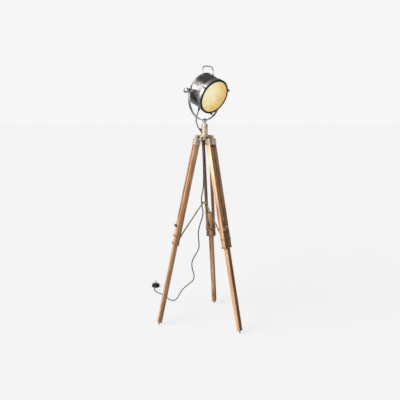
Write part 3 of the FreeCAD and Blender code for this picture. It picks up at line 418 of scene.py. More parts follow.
@dataclass(frozen=True)
class LitGlass:
    """The lens: warm mottled glass, lit from behind and brightest at one side.

    Attributes:
        name: Material name.
        brightest: Middle of the bright side, in the drum's axes and metres.
        reach: Distance from there to the darkest colour, in metres.
        colours: Colours with their places, from the bright side to the edge.
        glow: Strength of the light behind it.
        own: Share of the colour that the surface has of its own.
    """

    name: str
    brightest: Point = (-0.055, 0.030, 0.085)
    reach: float = 0.17
    colours: tuple[tuple[float, Colour], ...] = (
        (0.0, (0.99, 0.92, 0.62)), (0.30, (0.96, 0.80, 0.42)),
        (0.62, (0.88, 0.63, 0.21)), (1.0, (0.76, 0.44, 0.13)))
    glow: float = 0.84
    own: float = 0.38

    def material(self) -> bpy.types.Material:
        """Build the material.

        Returns:
            The node material.
        """
        made, graph = new_material(self.name)
        coords = graph.placed(head_frame())
        reach = graph.node("VectorMath", {0: coords, 1: self.brightest},
                           operation="DISTANCE").outputs["Value"]
        mottle = graph.noise(coords, 34.0, 5.0, 0.62, 0.6)
        blotch = graph.noise(coords, 15.0, 3.0, 0.55, 0.8)
        for uneven, depth in ((mottle, 0.075), (blotch, 0.10)):
            centred = graph.maths("SUBTRACT", uneven, 0.5)
            reach = graph.maths("ADD", reach, graph.maths("MULTIPLY", centred, depth))
        colour = graph.ramp(graph.span(reach, 0.0, self.reach), self.colours)
        graph.surface(Base_Color=graph.blend(1.0, colour, (self.own,) * 3, "MULTIPLY"),
                      Roughness=0.14, IOR=1.5, Coat_Weight=0.35, Coat_Roughness=0.05,
                      Emission_Color=colour, Emission_Strength=self.glow,
                      Normal=graph.bump(mottle, 0.3, 0.0015))
        return made


@dataclass(frozen=True)
class BulbGlass:
    """Slightly cloudy glass of the bulb, lit from inside.

    Attributes:
        name: Material name.
        colour: Colour of the glass and of its light.
        glow: Strength of the light.
    """

    name: str
    colour: Colour
    glow: float

    def material(self) -> bpy.types.Material:
        """Build the material.

        Returns:
            The node material.
        """
        made, graph = new_material(self.name)
        cloud = graph.noise(graph.placed(), 40.0, 3.0)
        colour = graph.blend(cloud, self.colour, dimmed(self.colour, 0.85))
        graph.surface(Base_Color=colour, Roughness=0.2, Transmission_Weight=0.3, IOR=1.5,
                      Emission_Color=colour, Emission_Strength=self.glow)
        return made


FINISHES = {
    Slot.AGED_BRASS: Metal("aged brass", (0.86, 0.73, 0.53), (0.34, 0.245, 0.14),
                           (0.22, 0.38), 17.0, (0.46, 0.72)),
    Slot.BRIGHT_BRASS: Metal("bright brass", (0.42, 0.28, 0.14), (0.13, 0.075, 0.035),
                             (0.22, 0.40), 55.0),
    Slot.NICKEL: Metal("polished nickel", (0.58, 0.54, 0.53), (0.30, 0.25, 0.25),
                       (0.07, 0.20), 22.0, (0.46, 0.78)),
    Slot.CHROME: Metal("bright chrome", (0.80, 0.80, 0.81), (0.60, 0.60, 0.62),
                       (0.04, 0.14), 30.0, (0.50, 0.80)),
    Slot.STEEL: Metal("plain steel", (0.42, 0.40, 0.38), (0.16, 0.13, 0.11), (0.28, 0.5), 90.0),
    Slot.MIRROR: Metal("reflector", (0.90, 0.80, 0.58), (0.80, 0.66, 0.40), (0.10, 0.25), 40.0),
    Slot.BLACK_STEEL: Moulded("black steel", (0.012, 0.012, 0.013), (0.05, 0.048, 0.045),
                              (0.22, 0.42)),
    Slot.RUBBER: Moulded("black rubber", (0.010, 0.010, 0.010), (0.022, 0.021, 0.020),
                         (0.45, 0.7)),
    Slot.PLASTIC: Moulded("black plastic", (0.012, 0.012, 0.014), (0.028, 0.028, 0.030),
                          (0.25, 0.45)),
    Slot.CORD: Moulded("cord sheath", (0.040, 0.041, 0.042), (0.075, 0.075, 0.075),
                       (0.42, 0.6), 1500.0),
    Slot.GLASS: LitGlass("lens glass"),
    Slot.BULB: BulbGlass("bulb glass", (1.0, 0.88, 0.62), 2.0),
    Look.BRONZE: Metal("dark bronze", (0.34, 0.25, 0.17), (0.10, 0.065, 0.04),
                       (0.25, 0.45), 80.0),
    Look.SLEEVE: Moulded("pin sleeve", (0.016, 0.015, 0.014), (0.04, 0.034, 0.026), (0.25, 0.4)),
    Look.WORN: Metal("worn steel", (0.50, 0.49, 0.50), (0.12, 0.11, 0.11), (0.15, 0.35), 60.0),
    Look.SATIN: Metal("satin chrome", (0.84, 0.84, 0.87), (0.62, 0.62, 0.65),
                      (0.24, 0.38), 40.0),
    Look.BROWNED: Metal("browned brass", (0.50, 0.31, 0.16), (0.22, 0.12, 0.06),
                        (0.45, 0.62), 60.0),
    (Slot.STAINED_WOOD, "a"): Wood("stained wood a", "a", 0.05),
    # Leg b's rails get darker pale, middle and dark colours than the other legs: painted shade on
    # the rear leg's stained wood
    (Slot.STAINED_WOOD, "b"): Wood("stained wood b with painted shade", "b", 0.16, (0.45, 0.26, 0.14),
                                   (0.24, 0.12, 0.06), (0.07, 0.03, 0.013)),
    (Slot.STAINED_WOOD, "c"): Wood("stained wood c", "c", 0.27),
    (Slot.LIGHT_WOOD, "a"): Wood("light wood a", "a", 0.40),
    (Slot.LIGHT_WOOD, "b"): Wood("light wood b", "b", 0.57),
    (Slot.LIGHT_WOOD, "c"): Wood("light wood c", "c", 0.74),
}


@dataclass
class Palette:
    """All finishes of the lamp, built once and shared.

    Attributes:
        made: Finished materials by slot, by look, or by slot and leg.
    """

    made: dict[Key, bpy.types.Material] = field(default_factory=dict)

    def build(self) -> None:
        """Make every material."""
        self.made = {key: finish.material() for key, finish in FINISHES.items()}

    def dress_frame(self) -> None:
        """Give every CAD node the finish of its slot, and wood the one of its leg."""
        for part in frame["record"]["subparts"]:
            name, slot = part["node"], Slot(part["material_slot"])
            key = slot if slot in self.made else (slot, name[-1])
            node = frame["nodes"][name]
            if not node.material_slots:
                node.data.materials.append(self.made[key])
            for place in node.material_slots:
                place.material = self.made[key]


# ---------------------------------------------------------------------------
# shapes
# ---------------------------------------------------------------------------
def polar(radius: float, angle: float) -> tuple[float, float]:
    """A point on a circle about the origin, at an angle in degrees."""
    return radius * math.cos(math.radians(angle)), radius * math.sin(math.radians(angle))


def mirrored(half: Outline) -> list[tuple[float, float]]:
    """A lathe outline from its upper half, which runs from the top to the middle."""
    return [(radius, -height) for radius, height in half] + list(reversed(half))


def outline_box(half_x: float, half_y: float, corner: float, height: float) -> list[Vector]:
    """A rectangle with round corners at one height.

    Args:
        half_x: Half its length on X.
        half_y: Half its length on Y.
        corner: Radius of the corners.
        height: Where it lies on Z.

    Returns:
        The ring of points.
    """
    steps = 4
    ring = []
    for quarter, (side_x, side_y) in enumerate(((1, 1), (-1, 1), (-1, -1), (1, -1))):
        for step in range(steps + 1):
            x, y = polar(corner, 90 * (quarter + step / steps))
            ring.append(Vector((side_x * (half_x - corner) + x,
                                side_y * (half_y - corner) + y, height)))
    return ring


def flutes(count: int, depth: float, corners: Iterable[int]) -> Carve:
    """Grooves round a turned body.

    Args:
        count: Number of grooves.
        depth: How deep they are.
        corners: Corners of the outline that they reach.

    Returns:
        The function that moves the vertices, for Shape.lathe.
    """
    def carve(corner: int, spot: Vector) -> Vector:
        """Move one vertex towards the axis.

        Args:
            corner: Number of its corner.
            spot: Its place.

        Returns:
            Its new place.
        """
        if corner not in corners:
            return spot
        radius = spot.xy.length
        cut = depth * (0.5 - 0.5 * math.cos(count * math.atan2(spot.y, spot.x)))
        return Vector((*(spot.xy * (1 - cut / radius)), spot.z))
    return carve


def link(name: str, data: bpy.types.ID) -> bpy.types.Object:
    """Put a new object in the scene.

    Args:
        name: Object name.
        data: Its mesh, curve or camera.

    Returns:
        The object.
    """
    made = bpy.data.objects.new(name, data)
    bpy.context.scene.collection.objects.link(made)
    return made


class Shape:
    """A mesh in the making.

    Attributes:
        place: Axes in which the bodies are added.
        mesh: The bodies so far.
    """

    def __init__(self, place: Matrix = IDENTITY) -> None:
        self.place = place
        self.mesh = bmesh.new()

    def join(self, low: Sequence[bmesh.types.BMVert], high: Sequence[bmesh.types.BMVert]) -> None:
        """Put faces between two rings, one of which may be a single point.

        Args:
            low: Vertices of one ring.
            high: Vertices of the next ring.
        """
        steps = max(len(low), len(high))
        for step in range(steps):
            after = (step + 1) % steps
            below = (low[step], low[after]) if len(low) > 1 else (low[0],)
            above = (high[after], high[step]) if len(high) > 1 else (high[0],)
            self.mesh.faces.new(below + above)

    def lathe(self, outline: Outline, place: Matrix = IDENTITY, steps: int = 48,
              hollow: bool = False, carve: Optional[Carve] = None) -> None:
        """Add a body turned about local Z.

        Args:
            outline: Corners as (radius, height); a radius of zero closes an end.
            place: Where its local axes lie.
            steps: Corners round the axis.
            hollow: Join the last corner to the first, so that the middle stays open.
            carve: Moves a vertex, given the number of its corner and its place.
        """
        rings = []
        for corner, (radius, height) in enumerate(outline):
            spots = [Vector((*polar(radius, 360 * step / steps), height))
                     for step in range(steps if radius > 0 else 1)]
            if carve:
                spots = [carve(corner, spot) for spot in spots]
            rings.append([self.mesh.verts.new(place @ (spot * MM)) for spot in spots])
        for low, high in zip(rings, rings[1:] + rings[:1] if hollow else rings[1:]):
            self.join(low, high)

    def skin(self, rings: Sequence[Sequence[Vector]], place: Matrix = IDENTITY,
             capped: bool = True) -> None:
        """Join rings of points into a body.

        Args:
            rings: Rings with the same number of points, from one end to the other.
            place: Where their local axes lie.
            capped: Close both ends; otherwise the last ring joins the first.
        """
        made = [[self.mesh.verts.new(place @ (point * MM)) for point in ring] for ring in rings]
        for low, high in zip(made, made[1:] if capped else made[1:] + made[:1]):
            self.join(low, high)
        if capped:
            self.mesh.faces.new(list(reversed(made[0])))
            self.mesh.faces.new(made[-1])

    def box(self, low: Point, high: Point, bevel: float, place: Matrix = IDENTITY) -> None:
        """Add a box with rounded edges.

        Args:
            low: Lowest corner.
            high: Highest corner.
            bevel: Width of the rounding.
            place: Where its local axes lie.
        """
        size, middle = Vector(high) - Vector(low), (Vector(high) + Vector(low)) / 2
        stretched = Matrix.Diagonal((*(size * MM), 1.0))
        grown = bmesh.ops.create_cube(self.mesh, size=1.0, matrix=place @ shift(*middle)
                                      @ stretched)
        edges = list({edge for vert in grown["verts"] for edge in vert.link_edges})
        bmesh.ops.bevel(self.mesh, geom=edges, offset=bevel * MM, segments=3, profile=0.5,
                        affect="EDGES", clamp_overlap=True)

    def hexagon(self, radius: float, low: float, high: float, place: Matrix) -> None:
        """Add a hexagon nut with chamfered corners.

        Args:
            radius: Distance from its axis to a corner.
            low: Lower face on local Z.
            high: Upper face on local Z.
            place: Where its local axes lie.
        """
        chamfer = 0.12 * radius
        self.skin([[Vector((*polar(across, 60 * step), height)) for step in range(6)]
                   for across, height in ((radius - chamfer, low), (radius, low + chamfer * 0.6),
                                          (radius, high - chamfer * 0.6),
                                          (radius - chamfer, high))], place)

    def screw(self, radius: float, place: Matrix) -> None:
        """Add a domed screw head with a small socket, standing on local Z.

        Args:
            radius: Radius of the head.
            place: Where its local axes lie.
        """
        dome = [polar(radius, angle) for angle in (0, 20, 40, 60, 75)]
        self.lathe([(0.0, -0.4), (radius, -0.4)] + [(x, 0.55 * y) for x, y in dome]
                   + [(0.13 * radius, 0.54 * radius), (0.13 * radius, 0.30 * radius),
                      (0.0, 0.30 * radius)], place, 20)

    def make(self, name: str, smooth: float = 35.0) -> bpy.types.Object:
        """Turn the shape into an object whose mesh lies in the frame's axes.

        Args:
            name: Object name.
            smooth: Edges flatter than this many degrees are shaded smooth.

        Returns:
            The new object, in the scene.
        """
        bmesh.ops.transform(self.mesh, matrix=self.place, verts=self.mesh.verts)
        bmesh.ops.recalc_face_normals(self.mesh, faces=self.mesh.faces)
        for face in self.mesh.faces:
            face.smooth = True
        for edge in self.mesh.edges:
            if len(edge.link_faces) == 2 and edge.calc_face_angle(0.0) > math.radians(smooth):
                edge.smooth = False
        data = bpy.data.meshes.new(name)
        self.mesh.to_mesh(data)
        self.mesh.free()
        return link(name, data)


@dataclass
class Assembly:
    """What the sub-assemblies share.

    Attributes:
        palette: Finishes.
    """

    palette: Palette

    def declare(self, piece: bpy.types.Object, body: str, slot: Slot, *replaced: str,
                look: Optional[Key] = None) -> bpy.types.Object:
        """Dress a new piece, let it ride and hide the CAD nodes it stands for.

        Args:
            piece: The object.
            body: The CAD body it moves with.
            slot: The record's slot of its finish.
            replaced: CAD nodes it stands for.
            look: Its finish, where that isn't the usual one of the slot.

        Returns:
            The piece.
        """
        piece.data.materials.clear()
        piece.data.materials.append(self.palette.made[look or slot])
        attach(piece, body)
        if replaced:
            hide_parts(*replaced)
        LOG.info("%s rides on %s", piece.name, body)
        return piece


# ---------------------------------------------------------------------------
# studio
# ---------------------------------------------------------------------------
@dataclass(frozen=True)
class SoftLight:
    """A round soft source far away.

    Attributes:
        towards: Direction from the lamp.
        start: Cosine of the angle at its rim.
        full: Cosine of the angle inside which it has its full strength.
        strength: Brightness.
    """

    towards: Point
    start: float
    full: float
    strength: float

    def seen(self, graph: Graph, direction: bpy.types.NodeSocket) -> bpy.types.NodeSocket:
        """Its light in a direction."""
        dot = graph.node("VectorMath", {0: direction, 1: Vector(self.towards).normalized()},
                         operation="DOT_PRODUCT")
        return graph.span(dot.outputs["Value"], self.start, self.full, 0.0, self.strength)


@dataclass(frozen=True)
class Studio:
    """Camera, pale floor and a soft studio that lights from the left.

    Attributes:
        camera_place: Camera position.
        camera_pitch: Degrees below level.
        camera_turn: Degrees to the left.
        lens: Focal length in millimetres.
        sensor: Width of the sensor in millimetres.
        backdrop: Grey that the camera sees behind the lamp.
        floor_grey: Grey of the floor.
        floor_bounce: Grey of the floor for the light that it throws back.
        floor_glow: Share of the backdrop's grey that the floor shows without any light.
        soft, soft_base: Sources and even light on matt surfaces.
        gloss, gloss_base: What glossy surfaces mirror.
    """

    camera_place: Point = (MAST_X, MAST_Y - 3.0, 1.292)
    camera_pitch: float = 10.45
    camera_turn: float = 0.5
    lens: float = 47.25
    sensor: float = 36.0
    backdrop: float = 0.923
    floor_grey: float = 0.165
    floor_bounce: float = 0.12
    floor_glow: float = 0.79
    soft: tuple[SoftLight, ...] = (SoftLight((-0.76, -0.50, 0.42), 0.82, 0.97, 11.0),
                                   SoftLight((-0.15, 0.1, 1.0), 0.55, 0.95, 0.25))
    soft_base: float = 0.04
    gloss: tuple[SoftLight, ...] = (SoftLight((-0.78, -0.12, 0.61), 0.905, 0.970, 1.25),
                                    SoftLight((-0.80, -0.60, 0.02), 0.89, 0.96, 2.6),
                                    SoftLight((0.25, -0.96, 0.10), 0.70, 0.97, 0.85),
                                    SoftLight((-0.99, -0.03, 0.01), 0.975, 0.995, 0.55),
                                    SoftLight((-0.52, 0.85, 0.12), 0.90, 0.97, 0.9),
                                    SoftLight((0.90, 0.40, 0.15), 0.90, 0.96, 0.55))
    gloss_base: float = 0.10

    def add_camera(self) -> None:
        """Put the camera at the photograph's viewing angle."""
        data = bpy.data.cameras.new("camera")
        data.lens, data.sensor_width, data.sensor_fit = self.lens, self.sensor, "HORIZONTAL"
        data.clip_end = 100.0
        camera = link("camera", data)
        camera.location = self.camera_place
        camera.rotation_euler = (math.radians(90 - self.camera_pitch), 0.0,
                                 math.radians(self.camera_turn))
        bpy.context.scene.camera = camera

    def add_floor(self) -> None:
        """Lay a pale floor whose reflection on metal darkens towards the left."""
        shape = Shape(shift(0, 0, -0.2))
        bmesh.ops.create_grid(shape.mesh, x_segments=1, y_segments=1, size=30.0)
        floor = shape.make("studio_floor")
        material, graph = new_material("studio floor")
        parts = graph.node("SeparateXYZ", {"Vector": graph.placed()})
        shade = graph.span(parts.outputs["X"], -2.2, -0.5, 0.06, 0.40)
        mirrored_grey = graph.node("CombineColor", {"Red": shade, "Green": shade, "Blue": shade})
        path = graph.node("LightPath").outputs
        seen = graph.blend(path["Is Camera Ray"], (self.floor_bounce,) * 3,
                           (self.floor_grey,) * 3)
        graph.surface(Base_Color=graph.blend(path["Is Glossy Ray"], seen,
                                             mirrored_grey.outputs["Color"]),
                      Roughness=1.0, Specular_IOR_Level=0.0,
                      Emission_Color=(self.backdrop,) * 3,
                      Emission_Strength=graph.maths("MULTIPLY", path["Is Camera Ray"],
                                                    self.floor_glow))
        floor.data.materials.append(material)

    def add_light(self) -> None:
        """Surround the lamp with soft light: bright left, dim right."""
        world = bpy.data.worlds.new("studio")
        bpy.context.scene.world = world
        world.use_nodes = True
        graph = Graph(world.node_tree)
        direction = graph.node("TexCoord").outputs["Generated"]
        path = graph.node("LightPath").outputs
        sums = []
        for summed, lights in ((self.soft_base, self.soft), (self.gloss_base, self.gloss)):
            for light in lights:
                summed = graph.maths("ADD", light.seen(graph, direction), summed)
            sums.append(summed)
        colour = graph.blend(path["Is Glossy Ray"], *sums)
        for rays in ("Is Camera Ray", "Is Transmission Ray"):
            colour = graph.blend(path[rays], colour, (self.backdrop,) * 3)
        background = graph.node("Background", {"Color": colour})
        graph.node("OutputWorld", {"Surface": background.outputs["Background"]})
        world.cycles.sampling_method = "AUTOMATIC"

    def build(self) -> None:
        """Set everything up."""
        view = bpy.context.scene.view_settings
        view.view_transform = "Standard"
        view.look = "None"
        self.add_camera()
        self.add_floor()
        self.add_light()


# ---------------------------------------------------------------------------
# hub, post and stud
# ---------------------------------------------------------------------------
@dataclass
class HubAndPost(Assembly):
    """Brass hub with its hinge bolts, the turned post and the yoke's stud.

    Attributes:
        hub_top: Top face of the hub.
        spigot_bottom: Lower end of the post, under the hub.
        post_top: Top of the post.
        post_radius: Outside of the post.
        screw_rise: Thumb screw above the hub.
    """

    hub_top: float = 1113.0
    spigot_bottom: float = 1086.1
    post_top: float = 1177.0
    post_radius: float = 18.0
    screw_rise: float = 33.0

    def build(self) -> None:
        """Make all the pieces."""
        self.build_hinge_bolts()
        self.build_plate_screws()
        self.build_post()
        self.build_ring_nut()
        self.build_stud()
        self.build_clamp_screw()

    def build_hinge_bolts(self) -> None:
        """Three bolts with a dome on one end and a nut on the other."""
        reach = 23.4
        shape = Shape()
        for leg in LEG_AZIMUTHS:
            place, lean = hinge_frame(leg), turn(-90, "X")
            shape.lathe(mirrored([(0.0, 23.3), (3.7, 23.3), (3.91, 23.21), (4.0, 23.0)]),
                        place @ lean, 24)
            shape.screw(6.4, place @ lean @ shift(0, 0, reach))
            shape.hexagon(6.9, reach, reach + 3.4, place @ turn(90, "X"))
        self.declare(shape.make("hinge_bolt_set"), "stand", Slot.BLACK_STEEL, "hinge_bolts")

    def build_plate_screws(self) -> None:
        """Two small screws on the hub's plate between each pair of legs."""
        shape = Shape()
        for leg in LEG_AZIMUTHS:
            for apart in (-22, 22):
                shape.screw(2.6, side_frame(leg) @ turn(60 + apart, "Z")
                            @ shift(37, 0, self.hub_top))
        self.declare(shape.make("hub_plate_screws"), "stand", Slot.STEEL)

    def build_post(self) -> None:
        """Turned brass post with a beaded foot and a grooved top."""
        foot, low, high, out = (self.spigot_bottom, self.hub_top + 0.3, self.post_top,
                                self.post_radius)
        shape = Shape()
        shape.lathe([(11.0, foot), (13.7, foot), (14.0, foot + 0.4), (14.0, low),
                     (out - 0.8, low), (out, low + 0.8), (out, low + 5.0),
                     (out - 0.8, low + 5.7), (out - 0.8, low + 6.8), (out - 0.3, low + 7.5),
                     (out - 0.3, high - 9.5), (out - 1.0, high - 8.8), (out - 1.0, high - 7.4),
                     (out, high - 6.7), (out, high - 1.2), (out - 0.4, high - 0.4),
                     (out - 1.3, high), (9.2, high), (8.1, high - 1.0), (8.1, high - 7.0),
                     (15.5, high - 7.0), (15.5, low + 4.0), (11.0, low + 4.0)],
                    mast_frame(), 72, hollow=True)
        self.declare(shape.make("post_barrel", 30), "mast", Slot.AGED_BRASS, "post_tube")

    def build_ring_nut(self) -> None:
        """Knurled nut on the spigot under the hub."""
        inner, out, low = 14.1, 20.0, self.spigot_bottom
        high = low + 9.6
        shape = Shape()
        shape.lathe([(inner, low), (out - 1.2, low), (out, low + 1.2), (out, high - 1.2),
                     (out - 1.2, high), (inner, high)],
                    mast_frame(), 108, hollow=True, carve=flutes(36, 0.9, (2, 3)))
        self.declare(shape.make("post_lock_ring", 40), "mast", Slot.AGED_BRASS,
                     "post_ring_nut")

    def build_stud(self) -> None:
        """Polished stud with a waist, a flange and the screw through the yoke."""
        top = self.post_top
        neck, flange = top + 11.0, top + 19.0
        tip = flange + 11.4
        shape = Shape()
        shape.lathe([(0.0, top - 36.0), (7.8, top - 36.0), (8.0, top - 35.5), (8.0, top + 1.5),
                     (7.2, top + 3.0), (6.8, top + 6.0), (7.2, neck - 1.5), (8.5, neck),
                     (12.2, neck + 0.4), (13.3, neck + 1.5), (13.5, neck + 3.0),
                     (13.5, flange - 1.8), (13.0, flange - 0.6), (12.0, flange), (5.0, flange),
                     (5.0, tip - 1.2), (4.0, tip - 0.3), (0.0, tip)], mast_frame(), 64)
        self.declare(shape.make("yoke_pillar", 40), "mast", Slot.CHROME, "yoke_stud")
        shape = Shape()
        shape.hexagon(9.9, flange + 4.5, flange + 10.4, mast_frame() @ turn(HEAD_AZIMUTH, "Z"))
        self.declare(shape.make("yoke_middle_nut"), "mast", Slot.BLACK_STEEL, "yoke_nut",
                     look=Look.WORN)

    def build_clamp_screw(self) -> None:
        """Knurled thumb screw in the side of the post."""
        out = self.post_radius
        shape = Shape()
        shape.lathe([(0.0, 8.4), (2.5, 8.4), (2.5, out + 0.3), (3.9, out + 0.5),
                     (3.9, out + 3.0), (4.7, out + 3.1), (5.5, out + 3.9), (5.5, out + 10.0),
                     (4.8, out + 10.9), (0.0, out + 11.0)],
                    mast_frame() @ shift(0, 0, self.hub_top + self.screw_rise)
                    @ turn(-90, "Y"), 72, carve=flutes(24, 0.7, (6, 7)))
        self.declare(shape.make("post_thumb_screw", 40), "clamp_screw", Slot.BLACK_STEEL,
                     "post_clamp_screw")


# ---------------------------------------------------------------------------
# yoke and tilt pivots
# ---------------------------------------------------------------------------
@dataclass
class TiltYoke(Assembly):
    """Bent flat bar with the pivots, nuts and knobs that hold the drum.

    Attributes:
        radius: Outside of the round part.
        straight: Arm below the pivot.
        half_width: Half the width of the bar.
        half_thickness: Half the thickness of the bar.
        play: Gap between the bar and the pieces on its faces.
    """

    radius: float = 122.0
    straight: float = 43.0
    half_width: float = 7.5
    half_thickness: float = 2.0
    play: float = 0.3

    def section(self, out: Vector, rise: float, width: float) -> list[Vector]:
        """The bar's rounded cross-section at one place on its line.

        Args:
            out: Direction from the middle of the yoke to the bar.
            rise: Height of that middle.
            width: Half the width of the bar there.

        Returns:
            The ring of points.
        """
        thick, edge = self.half_thickness, 0.6
        width = max(width, edge * 1.2)
        centre = out * (self.radius - thick) + Vector((0, 0, rise))
        corners = [(thick, -width + edge), (thick, width - edge), (thick - edge, width),
                   (edge - thick, width), (-thick, width - edge), (-thick, edge - width),
                   (edge - thick, -width), (thick - edge, -width)]
        return [centre + out * away + Vector((0, aside, 0)) for away, aside in corners]

    def arm(self, side: int) -> list[list[Vector]]:
        """Sections of a straight arm, from its round end down to the bend.

        Args:
            side: -1 or 1 along the pivot.

        Returns:
            The rings.
        """
        out = Vector((side, 0, 0))
        rings = [self.section(out, self.half_width * share,
                              self.half_width * math.sqrt(1 - share * share))
                 for share in (1.0, 0.97, 0.88, 0.72, 0.5, 0.25, 0.0)]
        return rings + [self.section(out, -self.straight, self.half_width)]

    def build(self) -> None:
        """Make all the pieces."""
        steps = 48
        bend = []
        for step in range(1, steps):
            x, z = polar(1.0, 180 * step / steps)
            bend.append(self.section(Vector((-x, 0, -z)), -self.straight, self.half_width))
        shape = Shape()
        shape.skin(self.arm(-1) + bend + self.arm(1)[::-1], yoke_frame())
        self.declare(shape.make("yoke_strap", 28), "mast", Slot.NICKEL, "yoke",
                     look=Look.SATIN)
        self.build_pivots()

    def build_pivots(self) -> None:
        """Stand-offs, nuts and fluted knobs on both sides."""
        inside = self.radius - 2 * self.half_thickness - self.play
        outside = self.radius + self.play
        studs, nuts = Shape(), Shape()
        for side, tilt in (("near", -90), ("far", 90)):
            place = head_frame() @ turn(tilt, "Y")
            studs.lathe([(0.0, 93.5), (9.9, 93.5), (9.9, 96.5), (8.8, 97.5),
                         (8.8, inside - 4.0), (9.9, inside - 3.0), (9.9, inside),
                         (4.0, inside), (4.0, outside + 23.4), (0.0, outside + 23.5)], place, 40)
            nuts.hexagon(10.4, outside + 1.2, outside + 7.4, place)
            nuts.lathe([(4.2, outside), (10.0, outside), (10.3, outside + 0.5),
                        (10.0, outside + 1.2), (4.2, outside + 1.2)], place, 40, hollow=True)
            self.build_knob(side, place, outside + 7.8)
        self.declare(studs.make("tilt_stand_offs"), "head", Slot.CHROME, "pivot_studs")
        self.declare(nuts.make("tilt_nuts"), "head", Slot.BLACK_STEEL, "pivot_nuts")

    def build_knob(self, side: str, place: Matrix, base: float) -> None:
        """A fluted knob with a domed face.

        Args:
            side: "near" or "far".
            place: The pivot's axes.
            base: Where the knob starts along the pivot.
        """
        tip = base + 22.0
        shape = Shape()
        shape.lathe([(0.0, tip - 6.0), (4.1, tip - 6.0), (4.1, base), (9.5, base),
                     (10.0, base + 2.5), (11.2, base + 4.5), (13.5, base + 5.5),
                     (14.0, base + 6.5), (14.0, tip - 4.0), (13.4, tip - 2.8),
                     (11.8, tip - 2.2), (11.2, tip - 1.4), (8.0, tip - 0.4), (0.0, tip)],
                    place, 96, carve=flutes(20, 0.9, (7, 8)))
        self.declare(shape.make(f"tilt_grip_{side}", 40), f"{side}_knob", Slot.CHROME,
                     f"tilt_knob_{side}", look=Look.SATIN)


